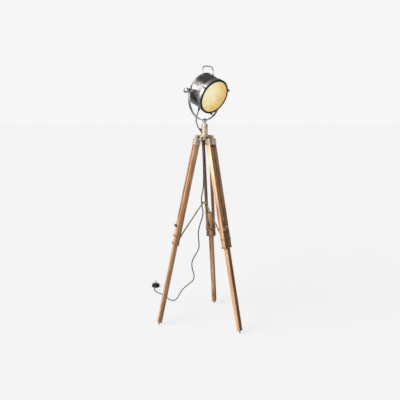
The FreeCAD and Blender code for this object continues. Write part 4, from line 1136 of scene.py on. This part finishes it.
# ---------------------------------------------------------------------------
# drum, bezel and lens
# ---------------------------------------------------------------------------
@dataclass
class Spotlight(Assembly):
    """Drum with its rear cover, bezel, lens, clamps, gland and trim.

    Attributes:
        radius: Outside of the drum.
        back: Rear rim ahead of the pivot, so behind it.
        front: Front edge ahead of the pivot.
        cover_radius: Edge of the rear dome.
        cover_depth: How far the rear dome stands out.
        bezel_radius: Outside of the bezel.
        bezel_back: Back of the bezel ahead of the pivot.
        bezel_front: Front of the bezel ahead of the pivot.
        window: Opening of the bezel.
        lip: Opening of the black ring, which laps over the lens.
        lens_radius: Edge of the lens.
        lens_rings: Rings of vertices on the lens.
    """

    radius: float = 95.0
    back: float = -24.0
    front: float = 64.0
    cover_radius: float = 86.0
    cover_depth: float = 33.0
    bezel_radius: float = 99.5
    bezel_back: float = 56.0
    bezel_front: float = 80.0
    window: float = 92.0
    lip: float = 88.5
    lens_radius: float = 94.8
    lens_rings: int = 26

    def build(self) -> None:
        """Make all the pieces."""
        self.build_drum()
        self.build_cover()
        self.build_bezel()
        self.build_seal()
        self.build_lens()
        self.build_swing_bolts("bezel_swing_bolts", (22, 282), Slot.BLACK_STEEL, "bezel_clamps")
        self.build_swing_bolts("bezel_bright_bolt", (152,), Slot.BRIGHT_BRASS)
        self.build_gland()
        self.build_trim()

    def turned(self, name: str, outline: Outline, smooth: float, slot: Slot, replaced: str,
               look: Optional[Look] = None) -> None:
        """A hollow sheet body round the lens axis.

        Args:
            name: Object name.
            outline: Corners as (radius, distance ahead of the pivot).
            smooth: Edges flatter than this many degrees are shaded smooth.
            slot: The record's slot of its finish.
            replaced: CAD node it stands for.
            look: Its finish, where that isn't the usual one of the slot.
        """
        shape = Shape()
        shape.lathe(outline, head_frame(), 144, hollow=True)
        self.declare(shape.make(name, smooth), "head", slot, replaced, look=look)

    def build_drum(self) -> None:
        """Sheet drum with a rolled rear rim and a shallow swage."""
        out, back, front = self.radius, self.back, self.front
        rim = [polar(1.0, angle) for angle in range(-150, 61, 15)]
        self.turned("drum_body", [(out - 1.5, back + 0.8)]
                    + [(out + 2.1 * x, back + 2.2 + 2.2 * y) for x, y in rim]
                    + [(out, back + 5.2), (out, back + 12.0), (out + 0.6, back + 13.4),
                       (out + 0.6, back + 15.0), (out, back + 16.4), (out, front),
                       (out - 1.5, front)], 40, Slot.NICKEL, "drum_shell")

    def build_cover(self) -> None:
        """Rear dome with pressed rings, vent louvres and a middle screw."""
        radius, depth, back = self.cover_radius, self.cover_depth, self.back
        outline = [(0.0, back - depth - 0.4), (10.0, back - depth - 0.4),
                   (11.2, back - depth + 1.2), (12.5, back - depth + 0.8)]
        for angle in range(81, -1, -3):
            across, rise = polar(1.0, angle)
            swell = 1.1 if angle in (66, 63, 36, 33) else 0.0
            outline.append((radius * across, back - (depth - 1.2) * rise + swell))
        outline += [(self.radius - 1.7, back + 0.1), (self.radius - 1.7, back + 1.4),
                    (radius - 1.5, back + 1.4)]
        for angle in range(3, 88, 6):
            across, rise = polar(1.0, angle)
            outline.append(((radius - 1.6) * across, back - (depth - 3.0) * rise))
        outline.append((0.0, back - depth + 3.1))
        shape = Shape()
        shape.lathe(outline, head_frame(), 120)
        vents = 16
        for step in range(vents):
            for angle, offset in ((24.0, 0.0), (50.0, 0.5)):
                across, rise = polar(1.0, angle)
                slope = math.degrees(math.atan2(depth * across, radius * rise))
                shape.box((-0.8, -5.2, -1.4), (0.8, 5.2, 1.4), 0.7,
                          head_frame() @ turn(360 / vents * (step + offset), "Z")
                          @ shift(radius * across, 0, back - depth * rise + 0.4)
                          @ turn(270 - slope, "Y"))
        self.declare(shape.make("drum_rear_dome", 32), "head", Slot.NICKEL, "rear_cover")

    def build_bezel(self) -> None:
        """Bright, slightly rounded band round the drum's mouth."""
        out, back, front = self.bezel_radius, self.bezel_back, self.bezel_front
        inner, sheet, window = self.radius + 0.1, 1.8, self.window
        swell = [polar(1.0, angle) for angle in range(0, 181, 20)]
        self.turned("bezel_band", [(inner, back), (out - 2.2, back), (out - 0.8, back + 1.2),
                                   (out - 0.4, back + 3.0)]
                    + [(out - 1.0 + y, (back + front) / 2 - 8.5 * x) for x, y in swell]
                    + [(out - 0.4, front - 3.0), (out, front - 2.0), (out - 0.3, front - 0.6),
                       (out - 1.2, front), (window, front), (window, front - sheet),
                       (out - 3.0, front - sheet), (out - 3.0, back + sheet),
                       (inner, back + sheet)], 50, Slot.CHROME, "bezel_ring", Look.SATIN)

    def build_seal(self) -> None:
        """Black ring in front of the bezel, whose lip laps over the lens."""
        out, front, lip, window = (self.bezel_radius + 0.5, self.bezel_front, self.lip,
                                   self.window)
        self.turned("lens_seal", [
            (out - 1.2, front), (out - 0.3, front + 0.4), (out, front + 1.3),
            (out, front + 3.4), (out - 0.6, front + 4.5), (out - 1.8, front + 5.0),
            (lip + 1.0, front + 5.0), (lip + 0.2, front + 4.8), (lip, front + 4.4),
            (lip + 0.3, front + 4.1), (window + 3.0, front + 3.8), (window + 3.3, front + 3.3),
            (window + 3.3, front)], 40, Slot.RUBBER, "lens_gasket")

    def build_lens(self) -> None:
        """Round lens with a soft crown and a hand-cast, uneven face."""
        base, thick, crown = self.bezel_front + 0.3, 3.2, 6.0
        outline = []
        for ring in range(self.lens_rings + 1):
            across = self.lens_radius * ring / self.lens_rings
            swell = crown * max(0.0, 1 - (across / (self.window - 1.0)) ** 2)
            outline.append((across, base + thick + swell))
        outline += [(self.lens_radius, base), (0.0, base + crown * 0.8)]
        shape = Shape()
        shape.lathe(outline, head_frame(), 120, carve=self.ripple)
        self.declare(shape.make("lens_pane", 60), "head", Slot.GLASS, "lens_glass")

    def ripple(self, corner: int, spot: Vector) -> Vector:
        """Raise or lower a vertex of the lens's face a little, less near the edge.

        Args:
            corner: Number of its ring.
            spot: Its place.

        Returns:
            Its new place.
        """
        if corner > self.lens_rings:
            return spot
        flat = Vector((spot.x, spot.y, 0)) * MM
        uneven = 0.55 * noise.noise(flat * 42.0) + 0.2 * noise.noise(flat * 110.0)
        fade = 1.0 - (corner / self.lens_rings) ** 6
        return spot + Vector((0, 0, uneven * fade))

    def build_swing_bolts(self, name: str, angles: Sequence[float], slot: Slot,
                          *replaced: str) -> None:
        """Lugs with swing bolts and knurled nuts of one finish.

        Args:
            name: Object name.
            angles: Degrees round the lens axis.
            slot: Their finish.
            replaced: CAD nodes that they stand for.
        """
        out, front = self.bezel_radius, self.bezel_front
        shape = Shape()
        for angle in angles:
            place = head_frame() @ turn(angle, "Z")
            shape.box((out - 0.4, -4.5, front - 14.0), (out + 8.0, 4.5, front - 5.0), 1.2, place)
            shape.lathe([(0.0, -4.0), (1.6, -4.0), (2.0, -3.5), (2.0, 6.2), (4.3, 6.3),
                         (4.6, 7.0), (4.6, 7.8), (3.4, 8.5), (3.4, 10.0), (4.6, 11.0),
                         (4.6, 19.0), (3.8, 19.9), (0.0, 20.0)],
                        place @ shift(out + 5.6, 0, front - 11.0), 60,
                        carve=flutes(15, 0.6, (9, 10)))
        self.declare(shape.make(name, 40), "head", slot, *replaced)

    def build_gland(self) -> None:
        """Ribbed strain relief under the drum."""
        out = self.radius
        outline = [(0.0, out - 1.5), (8.5, out - 1.5), (8.5, out + 5.2), (7.8, out + 6.0)]
        for rib in range(7):
            low, wide = out + 6.2 + 2.8 * rib, 7.0 - 0.32 * rib
            outline += [(wide - 1.0, low), (wide, low + 0.4), (wide, low + 1.8),
                        (wide - 1.0, low + 2.2)]
        outline += [(4.4, out + 25.9), (0.0, out + 26.0)]
        shape = Shape()
        shape.lathe(outline, head_frame() @ shift(0, 0, 2.0) @ turn(90, "X"), 40)
        self.declare(shape.make("drum_cord_relief", 45), "head", Slot.PLASTIC, "cable_gland")

    def on_drum(self, angle: float, ahead: float) -> Matrix:
        """A place on the drum's side, with Z pointing outward.

        Args:
            angle: Degrees from the drum's top towards the near side.
            ahead: Distance ahead of the pivot.

        Returns:
            The place.
        """
        return (head_frame() @ turn(90 + angle, "Z") @ shift(self.radius, 0, ahead)
                @ turn(90, "Y"))

    def build_trim(self) -> None:
        """Screws, small catches, the seam's rivets and collars round the handle's feet."""
        screws, catches, rivets, collars = Shape(), Shape(), Shape(), Shape()
        screws.screw(4.2, self.on_drum(57, 31))
        screws.screw(3.0, self.on_drum(-57, 31))
        for side in (1, -1):
            catches.box((-15.0, -2.2, -0.4), (6.0, 2.2, 1.8), 0.8, self.on_drum(64 * side, 14))
        for step in range(6):
            rivets.screw(1.6, self.on_drum(156, -4 + 11 * step))
            rivets.screw(1.6, self.on_drum(12 + 60 * step, -16.5))
        for side in (-1, 1):
            collars.lathe([(3.4, -0.1), (5.0, 0.1), (5.2, 0.9), (4.6, 1.8), (3.4, 2.3)],
                          head_frame() @ shift(42 * side, 86.8, -14) @ turn(-90, "X"), 32,
                          hollow=True)
        for name, shape, slot in (("drum_brass_screws", screws, Slot.BRIGHT_BRASS),
                                  ("drum_catches", catches, Slot.BLACK_STEEL),
                                  ("drum_rivets", rivets, Slot.CHROME),
                                  ("handle_collars", collars, Slot.CHROME)):
            self.declare(shape.make(name), "head", slot)


# ---------------------------------------------------------------------------
# legs and braces
# ---------------------------------------------------------------------------
@dataclass
class WoodenLeg(Assembly):
    """One telescoping leg with its brass fittings and its brace.

    Heights are measured along the leg from its hinge pin, so they are below zero.

    Attributes:
        leg: "a", "b" or "c".
        half_depth: Half of the rails, in and out, with the seat of the bands.
        half_width: Half of the pair of rails, across, with the seat of the bands.
        wall: Sheet of the brass bands.
        rail_offset: Middle of each rail from the middle of the leg.
        lock_height: Middle of the lock plate.
        band_height: Middle of the band that holds the brace.
        brace_inset: Pin of the brace, inward from the leg's middle.
        brace_length: Distance between the brace's pins.
    """

    leg: str
    half_depth: float = 14.6
    half_width: float = 26.1
    wall: float = 1.5
    rail_offset: float = 19.5
    lock_height: float = -521.0
    band_height: float = -582.0
    brace_inset: float = 21.0
    brace_length: float = 233.32

    def add(self, name: str, shape: Shape, body: str, slot: Slot, *replaced: str,
            look: Optional[Key] = None) -> None:
        """Finish a piece whose name, body and CAD nodes end in the leg's letter."""
        self.declare(shape.make(f"{name}_{self.leg}"), f"{body}_{self.leg}", slot,
                     *(f"{node}_{self.leg}" for node in replaced), look=look)

    def new(self) -> Shape:
        """An empty shape in the leg's axes."""
        return Shape(leg_frame(self.leg))

    def sleeve(self, shape: Shape, low: float, high: float, floor: float = 0.0,
               lid: bool = False) -> None:
        """A bent sheet round both rails, open or nearly closed at its ends.

        Args:
            shape: Where it goes.
            low: Lower edge.
            high: Upper edge.
            floor: Half of the square hole in a bottom sheet, or zero for none.
            lid: Close the top, but for a small hole.
        """
        x, y, edge = self.half_depth, self.half_width, 0.4
        out_x, out_y = x + self.wall, y + self.wall
        rings = [outline_box(out_x - edge, out_y - edge, 1.5, low),
                 outline_box(out_x, out_y, 1.8, low + edge),
                 outline_box(out_x, out_y, 1.8, high - edge),
                 outline_box(out_x - edge, out_y - edge, 1.5, high)]
        if lid:
            lid_sheet, hole = 2.5, 2.0
            rings += [outline_box(hole, hole, 0.9, high),
                      outline_box(hole, hole, 0.9, high - lid_sheet),
                      outline_box(x, y, 0.8, high - lid_sheet)]
        else:
            rings.append(outline_box(x, y, 0.8, high))
        if floor:
            sheet = 2.0
            rings += [outline_box(x, y, 0.8, low + sheet),
                      outline_box(floor, floor, 0.4, low + sheet),
                      outline_box(floor, floor, 0.4, low)]
        else:
            rings.insert(0, outline_box(x, y, 0.8, low))
        shape.skin(rings, capped=False)

    def build(self) -> None:
        """Make all the pieces."""
        self.build_cap()
        self.build_wood()
        self.build_bands()
        self.build_lock()
        self.build_brace()
        self.build_foot()

    def build_cap(self) -> None:
        """Brass cap with its hinge tongue and four small screws."""
        shape = self.new()
        self.sleeve(shape, -45.0, -10.5, lid=True)
        shape.lathe(mirrored([(4.05, 18.0), (6.4, 18.0), (7.0, 17.4)]), turn(-90, "X"), 40,
                    hollow=True)
        for near, far in ((-17.8, -6.0), (6.0, 17.8)):
            shape.box((-6.8, near, -11.0), (6.8, far, -4.5), 0.8)
        self.add("cap_shell", shape, "upper_leg", Slot.AGED_BRASS, "leg_cap")
        shape = self.new()
        for side in (-1, 1):
            for height in (-19, -36):
                shape.screw(2.1, shift(self.half_depth + self.wall, side * self.rail_offset,
                                       height) @ turn(90, "Y"))
        self.add("cap_screws", shape, "upper_leg", Slot.BRIGHT_BRASS)

    def build_wood(self) -> None:
        """Both rails and the square lower leg, with eased edges."""
        shape = self.new()
        for side in (-1, 1):
            shape.skin([outline_box(14.5 - shrink, 6.5 - shrink, 1.6, height)
                        for height, shrink in ((-630.9, 0.6), (-630.0, 0.0), (-14.0, 0.0),
                                               (-13.1, 0.6))],
                       shift(0, side * self.rail_offset, 0))
        self.add("rail_pair", shape, "upper_leg", Slot.STAINED_WOOD, "leg_rails",
                 look=(Slot.STAINED_WOOD, self.leg))
        half, low = 12.6, 17.0 - LEG_LENGTH / MM
        shape = self.new()
        shape.skin([outline_box(half - shrink, half - shrink, corner, height)
                    for height, shrink, corner in (
                        (low, 3.2, 1.2), (low + 3.0, 0.6, 1.6), (low + 4.5, 0.0, 1.6),
                        (-481.2, 0.0, 1.6), (-480.0, 1.0, 1.4))])
        self.add("square_leg", shape, "lower_leg", Slot.LIGHT_WOOD, "lower_leg",
                 look=(Slot.LIGHT_WOOD, self.leg))

    def build_bands(self) -> None:
        """End shoe, and the band whose ears hold the brace."""
        shape = self.new()
        self.sleeve(shape, -633.0, -625.0, floor=12.9)
        self.add("rail_shoe", shape, "upper_leg", Slot.AGED_BRASS, "end_plate",
                 look=Look.BROWNED)
        low, high = self.band_height - 4.5, self.band_height + 4.5
        pin = shift(-self.brace_inset, 0, self.band_height)
        shape = self.new()
        self.sleeve(shape, low, high)
        for side, near, far in ((-1, -6.8, -3.8), (1, 3.8, 6.8)):
            shape.box((-25.6, near, low), (-15.0, far, high), 0.7)
            shape.lathe([(0.0, 6.6), (2.8, 6.8), (2.7, 7.5), (1.5, 7.8), (0.0, 7.8)],
                        pin @ turn(-90 * side, "X"), 20)
        shape.lathe(mirrored([(0.0, 6.9), (1.95, 6.9)]), pin @ turn(-90, "X"), 20)
        self.add("brace_strap", shape, "upper_leg", Slot.AGED_BRASS, "brace_band",
                 look=Look.BROWNED)

    def build_lock(self) -> None:
        """Brass plate with screws, and the knurled knob that locks the lower leg."""
        back, face, hole, seat = 14.6, 16.5, 3.1, 16.8
        place = shift(0, 0, self.lock_height) @ turn(90, "Y")
        outer = [outline_box(9.9 - shrink, 23.9 - shrink, 3.0, height)
                 for height, shrink in ((back, 0.0), (face - 0.4, 0.0), (face, 0.5))]
        inner = [[Vector((*(point.xy.normalized() * hole), height)) for point in outer[-1]]
                 for height in (face, back)]
        shape = self.new()
        shape.skin(outer + inner, place, capped=False)
        self.add("lock_shield", shape, "upper_leg", Slot.AGED_BRASS, "lock_plate")
        shape = self.new()
        for side in (-1, 1):
            shape.screw(2.4, place @ shift(0, side * 18.5, face))
        self.add("lock_shield_screws", shape, "upper_leg", Slot.BRIGHT_BRASS)
        shape = self.new()
        shape.lathe([(0.0, 13.0), (2.9, 13.0), (2.9, seat), (6.2, seat), (6.6, seat + 2.2),
                     (7.8, seat + 3.0), (8.5, seat + 3.6), (8.5, seat + 8.8),
                     (7.9, seat + 9.8), (6.0, seat + 10.6), (0.0, seat + 11.0)],
                    place, 96, carve=flutes(24, 0.8, (6, 7)))
        self.add("lock_wheel", shape, "lock_knob", Slot.BLACK_STEEL, "lock_knob",
                 look=Look.BRONZE)

    def build_brace(self) -> None:
        """Brass rod with a ringed eye and a flattened, rounded tip."""
        place, end = self.brace_frame(), self.brace_length
        shape = Shape()
        shape.lathe(mirrored([(2.05, 3.5), (4.2, 3.5), (4.6, 3.1)]), place @ turn(-90, "X"), 32,
                    hollow=True)
        shape.lathe([(0.0, 3.0), (3.4, 3.0), (3.6, 7.5), (3.0, 8.2), (3.0, 10.0), (3.6, 10.7),
                     (3.6, end - 25.5), (3.0, end - 24.8), (3.0, end - 23.2),
                     (3.6, end - 22.5), (3.5, end - 16.5), (2.4, end - 14.8),
                     (0.0, end - 14.8)], place, 28)
        shape.skin([outline_box(half, 2.4, min(0.7, half * 0.8), height)
                    for height, half in ((end - 17.5, 3.1), (end - 15.0, 3.3), (end, 3.4),
                                         (end + 1.6, 3.1), (end + 2.7, 2.2),
                                         (end + 3.4, 0.8))], place)
        self.add("brace_stay", shape, "brace", Slot.BRIGHT_BRASS, "brace_rod")

    def brace_frame(self) -> Matrix:
        """The brace's axes: Z from its pin on the leg to the collar, Y along the pin.

        Returns:
            The frame, whose origin is that pin.
        """
        foot = leg_frame(self.leg) @ (Vector((-self.brace_inset, 0, self.band_height)) * MM)
        out = side_frame(self.leg)
        along = (out @ Vector((COLLAR_PIVOT, 0, COLLAR_HEIGHT)) - foot).normalized()
        across = out.to_3x3() @ Vector((0, 1, 0))
        side = across.cross(along).normalized()
        return Matrix.Translation(foot) @ Matrix((side, across, along)).transposed().to_4x4()

    def build_foot(self) -> None:
        """Steel point with a collar under the wood."""
        tip = -LEG_LENGTH / MM
        shape = self.new()
        shape.lathe([(0.0, -1090.3), (3.2, -1090.3), (3.2, -1112.8), (6.0, -1112.8),
                     (6.0, -1113.8), (3.2, -1114.0), (3.1, -1124.0), (2.2, -1127.8),
                     (0.8, tip + 0.7), (0.0, tip + 0.6)], steps=24)
        self.add("foot_point", shape, "lower_leg", Slot.STEEL, "spike")


# ---------------------------------------------------------------------------
# plug and cords
# ---------------------------------------------------------------------------
GLAND_TIP = head_frame() @ Vector((0.0, -0.1213, 0.002))
UPPER_ROUTE: list[Point] = [
    tuple(head_frame() @ Vector((0.0, -0.145, 0.002))),
    (-0.0183, -0.0012, 1.2040),
    (-0.0135, -0.0042, 1.1770),
    (-0.0030, -0.0125, 1.1495),
]
LOWER_ROUTE: list[Point] = [
    (0.0315, -0.0378, 1.0890),
    (0.0315, -0.0378, 1.0500),
    (0.0290, -0.0355, 0.9850),
    (0.0250, -0.0300, 0.9150),
    (0.0270, -0.0240, 0.8560),
    (0.0239, -0.0178, 0.8002),
    (0.0134, -0.0158, 0.7525),
    (0.0139, -0.0158, 0.7138),
    (0.0221, -0.0178, 0.6783),
    (0.0221, -0.0178, 0.6393),
    (0.0096, -0.0098, 0.6013),
    (-0.0018, -0.0018, 0.5599),
    (-0.0062, 0.0122, 0.5135),
    (-0.0017, 0.0282, 0.4691),
    (-0.0007, 0.0462, 0.4266),
    (-0.0162, 0.0622, 0.3905),
    (-0.0362, 0.0772, 0.3542),
    (-0.0485, 0.0922, 0.3143),
    (-0.0435, 0.1122, 0.2690),
    (-0.0323, 0.1372, 0.2247),
    (-0.0375, 0.1672, 0.1813),
    (-0.0614, 0.1940, 0.1506),
    (-0.0924, 0.2170, 0.1196),
    (-0.1199, 0.2330, 0.0820),
    (-0.1375, 0.2425, 0.0460),
    (-0.1530, 0.2505, 0.0190),
    (-0.1730, 0.2605, 0.0052),
    (-0.1970, 0.2800, 0.0033),
    (-0.2160, 0.3110, 0.0033),
    (-0.2330, 0.3520, 0.0033),
    (-0.2620, 0.3890, 0.0033),
    (-0.2970, 0.4200, 0.0033),
    (-0.3180, 0.4600, 0.0036),
    (-0.3210, 0.4900, 0.0060),
]
PLUG_MIDDLE, PLUG_TURN = (-0.3165, 0.5422), 8.0
GROMMET_OUT, GROMMET_AZIMUTH, GROMMET_RISE, GROMMET_BASE = 0.022, 233.7, 42.0, 1.111


def plug_frame() -> Matrix:
    """The plug's axes: X across, Y away from the cord, Z up."""
    return Matrix.Translation((*PLUG_MIDDLE, 0.0)) @ turn(-PLUG_TURN, "Z")


def grommet_tip() -> Point:
    """Where the cord enters the post."""
    x, y = polar(GROMMET_OUT, GROMMET_AZIMUTH - 90)
    return (MAST_X + x, MAST_Y + y,
            GROMMET_BASE + GROMMET_OUT * math.tan(math.radians(GROMMET_RISE)))


@dataclass
class MainsCord(Assembly):
    """The cord from the drum to the post, and from the hub to its plug.

    Attributes:
        half_length: Half of the plug along the cord.
        half_width: Half of the plug across.
        entry_height: Where the cord enters the plug, above the floor.
        rounding: Where the plug's corners begin to be round.
    """

    half_length: float = 25.0
    half_width: float = 27.0
    entry_height: float = 7.0
    rounding: float = 3.5

    def build(self) -> None:
        plug = self.build_plug()
        entry = plug_frame() @ (Vector((0, -self.half_length, self.entry_height)) * MM)
        lower = self.line("cord_to_plug", LOWER_ROUTE + [tuple(entry)])
        self.declare(lower, "stand", Slot.CORD, "lower_cord")
        self.build_upper()

    def line(self, name: str, route: Sequence[Point]) -> bpy.types.Object:
        """A round cord along one spline.

        Args:
            name: Object name.
            route: Control points of the spline.

        Returns:
            The curve object.
        """
        data = bpy.data.curves.new(name, "CURVE")
        data.dimensions = "3D"
        data.bevel_depth = CORD_RADIUS
        data.bevel_resolution = 5
        data.resolution_u = 12
        data.use_fill_caps = True
        spline = data.splines.new("NURBS")
        spline.points.add(len(route) - 1)
        for point, place in zip(spline.points, route):
            point.co = (*place, 1.0)
        spline.order_u = 3
        spline.use_endpoint_u = True
        return link(name, data)

    def plug_outline(self) -> list[Vector]:
        """The plug seen from above, with round corners.

        Returns:
            The ring of points.
        """
        x, y, steps = self.half_width, self.half_length, 5
        half = [(10.0, -y), (x, -8.3), (x, 10.0), (18.0, y)]
        corners = [Vector((*corner, 0)) for corner in
                   half + [(-across, along) for across, along in reversed(half)]]
        ring = []
        for before, here, after in zip(corners[-1:] + corners, corners, corners[1:] + corners):
            start = here + (before - here).normalized() * self.rounding
            stop = here + (after - here).normalized() * self.rounding
            for step in range(steps + 1):
                share = step / steps
                ring.append(start.lerp(here, share).lerp(here.lerp(stop, share), share))
        return ring

    def build_plug(self) -> list[bpy.types.Object]:
        """A moulded plug with a finger ridge, and its three sleeved pins.

        Returns:
            The two pieces.
        """
        shape = Shape()
        shape.skin([[point * (1 - shrink / self.half_width) + Vector((0, 0, height))
                     for point in self.plug_outline()]
                    for height, shrink in ((0.0, 2.2), (0.6, 0.8), (2.2, 0.0), (8.5, 0.0),
                                           (9.2, 0.6), (10.0, 0.6), (10.7, 0.0), (16.0, 0.2),
                                           (18.0, 1.0), (18.8, 2.4), (19.0, 4.0))],
                   plug_frame())
        body = self.declare(shape.make("mains_plug", 40), "stand", Slot.PLASTIC, "plug_body")
        shape = Shape()
        for x, y, half_x, half_y, top in ((0.0, 12.0, 2.0, 4.0, 41.7),
                                          (-11.1, -10.2, 3.2, 2.0, 36.7),
                                          (11.1, -10.2, 3.2, 2.0, 36.7)):
            shape.skin([outline_box(half_x - shrink, half_y - shrink, 0.6, height)
                        for height, shrink in ((18.5, 0.0), (top - 1.2, 0.0), (top - 0.3, 0.6),
                                               (top, 1.1))], plug_frame() @ shift(x, y, 0))
        pins = self.declare(shape.make("mains_pins", 40), "stand", Slot.BRIGHT_BRASS,
                            "plug_pins", look=Look.SLEEVE)
        return [body, pins]

    def build_upper(self) -> None:
        """The short stretch from the drum's gland into the post, made into one mesh."""
        curve = self.line("upper_line", [tuple(GLAND_TIP)] + UPPER_ROUTE + [grommet_tip()])
        bare = curve.data.copy()
        bare.bevel_depth = 0.0
        thread = link("upper_thread", bare)
        bpy.context.view_layer.update()
        depsgraph = bpy.context.evaluated_depsgraph_get()
        path = [tuple(vert.co) for vert in
                bpy.data.meshes.new_from_object(thread.evaluated_get(depsgraph)).vertices]
        mesh = bpy.data.meshes.new_from_object(curve.evaluated_get(depsgraph))
        welded = bmesh.new()
        welded.from_mesh(mesh)
        bmesh.ops.remove_doubles(welded, verts=welded.verts, dist=1e-6)
        welded.to_mesh(mesh)
        welded.free()
        for spare in (curve, thread):
            bpy.data.objects.remove(spare)
        tube = link("cord_to_drum", mesh)
        tube.data.materials.clear()
        tube.data.materials.append(self.palette.made[Slot.CORD])
        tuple(UPPER_ROUTE[2])
        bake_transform(tube)
        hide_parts("upper_cord")
        LOG.info("%s bends between mast and head", tube.name)


def main() -> None:
    """Build the visual model in order."""
    logging.basicConfig(level=logging.INFO, format="%(name)s: %(message)s")
    Studio().build()
    palette = Palette()
    palette.build()
    palette.dress_frame()
    LOG.info("%d CAD nodes dressed", len(frame["nodes"]))
    HubAndPost(palette).build()
    TiltYoke(palette).build()
    Spotlight(palette).build()
    for leg in LEG_AZIMUTHS:
        WoodenLeg(palette, leg).build()
    MainsCord(palette).build()


if __name__ == "__main__":
    main()
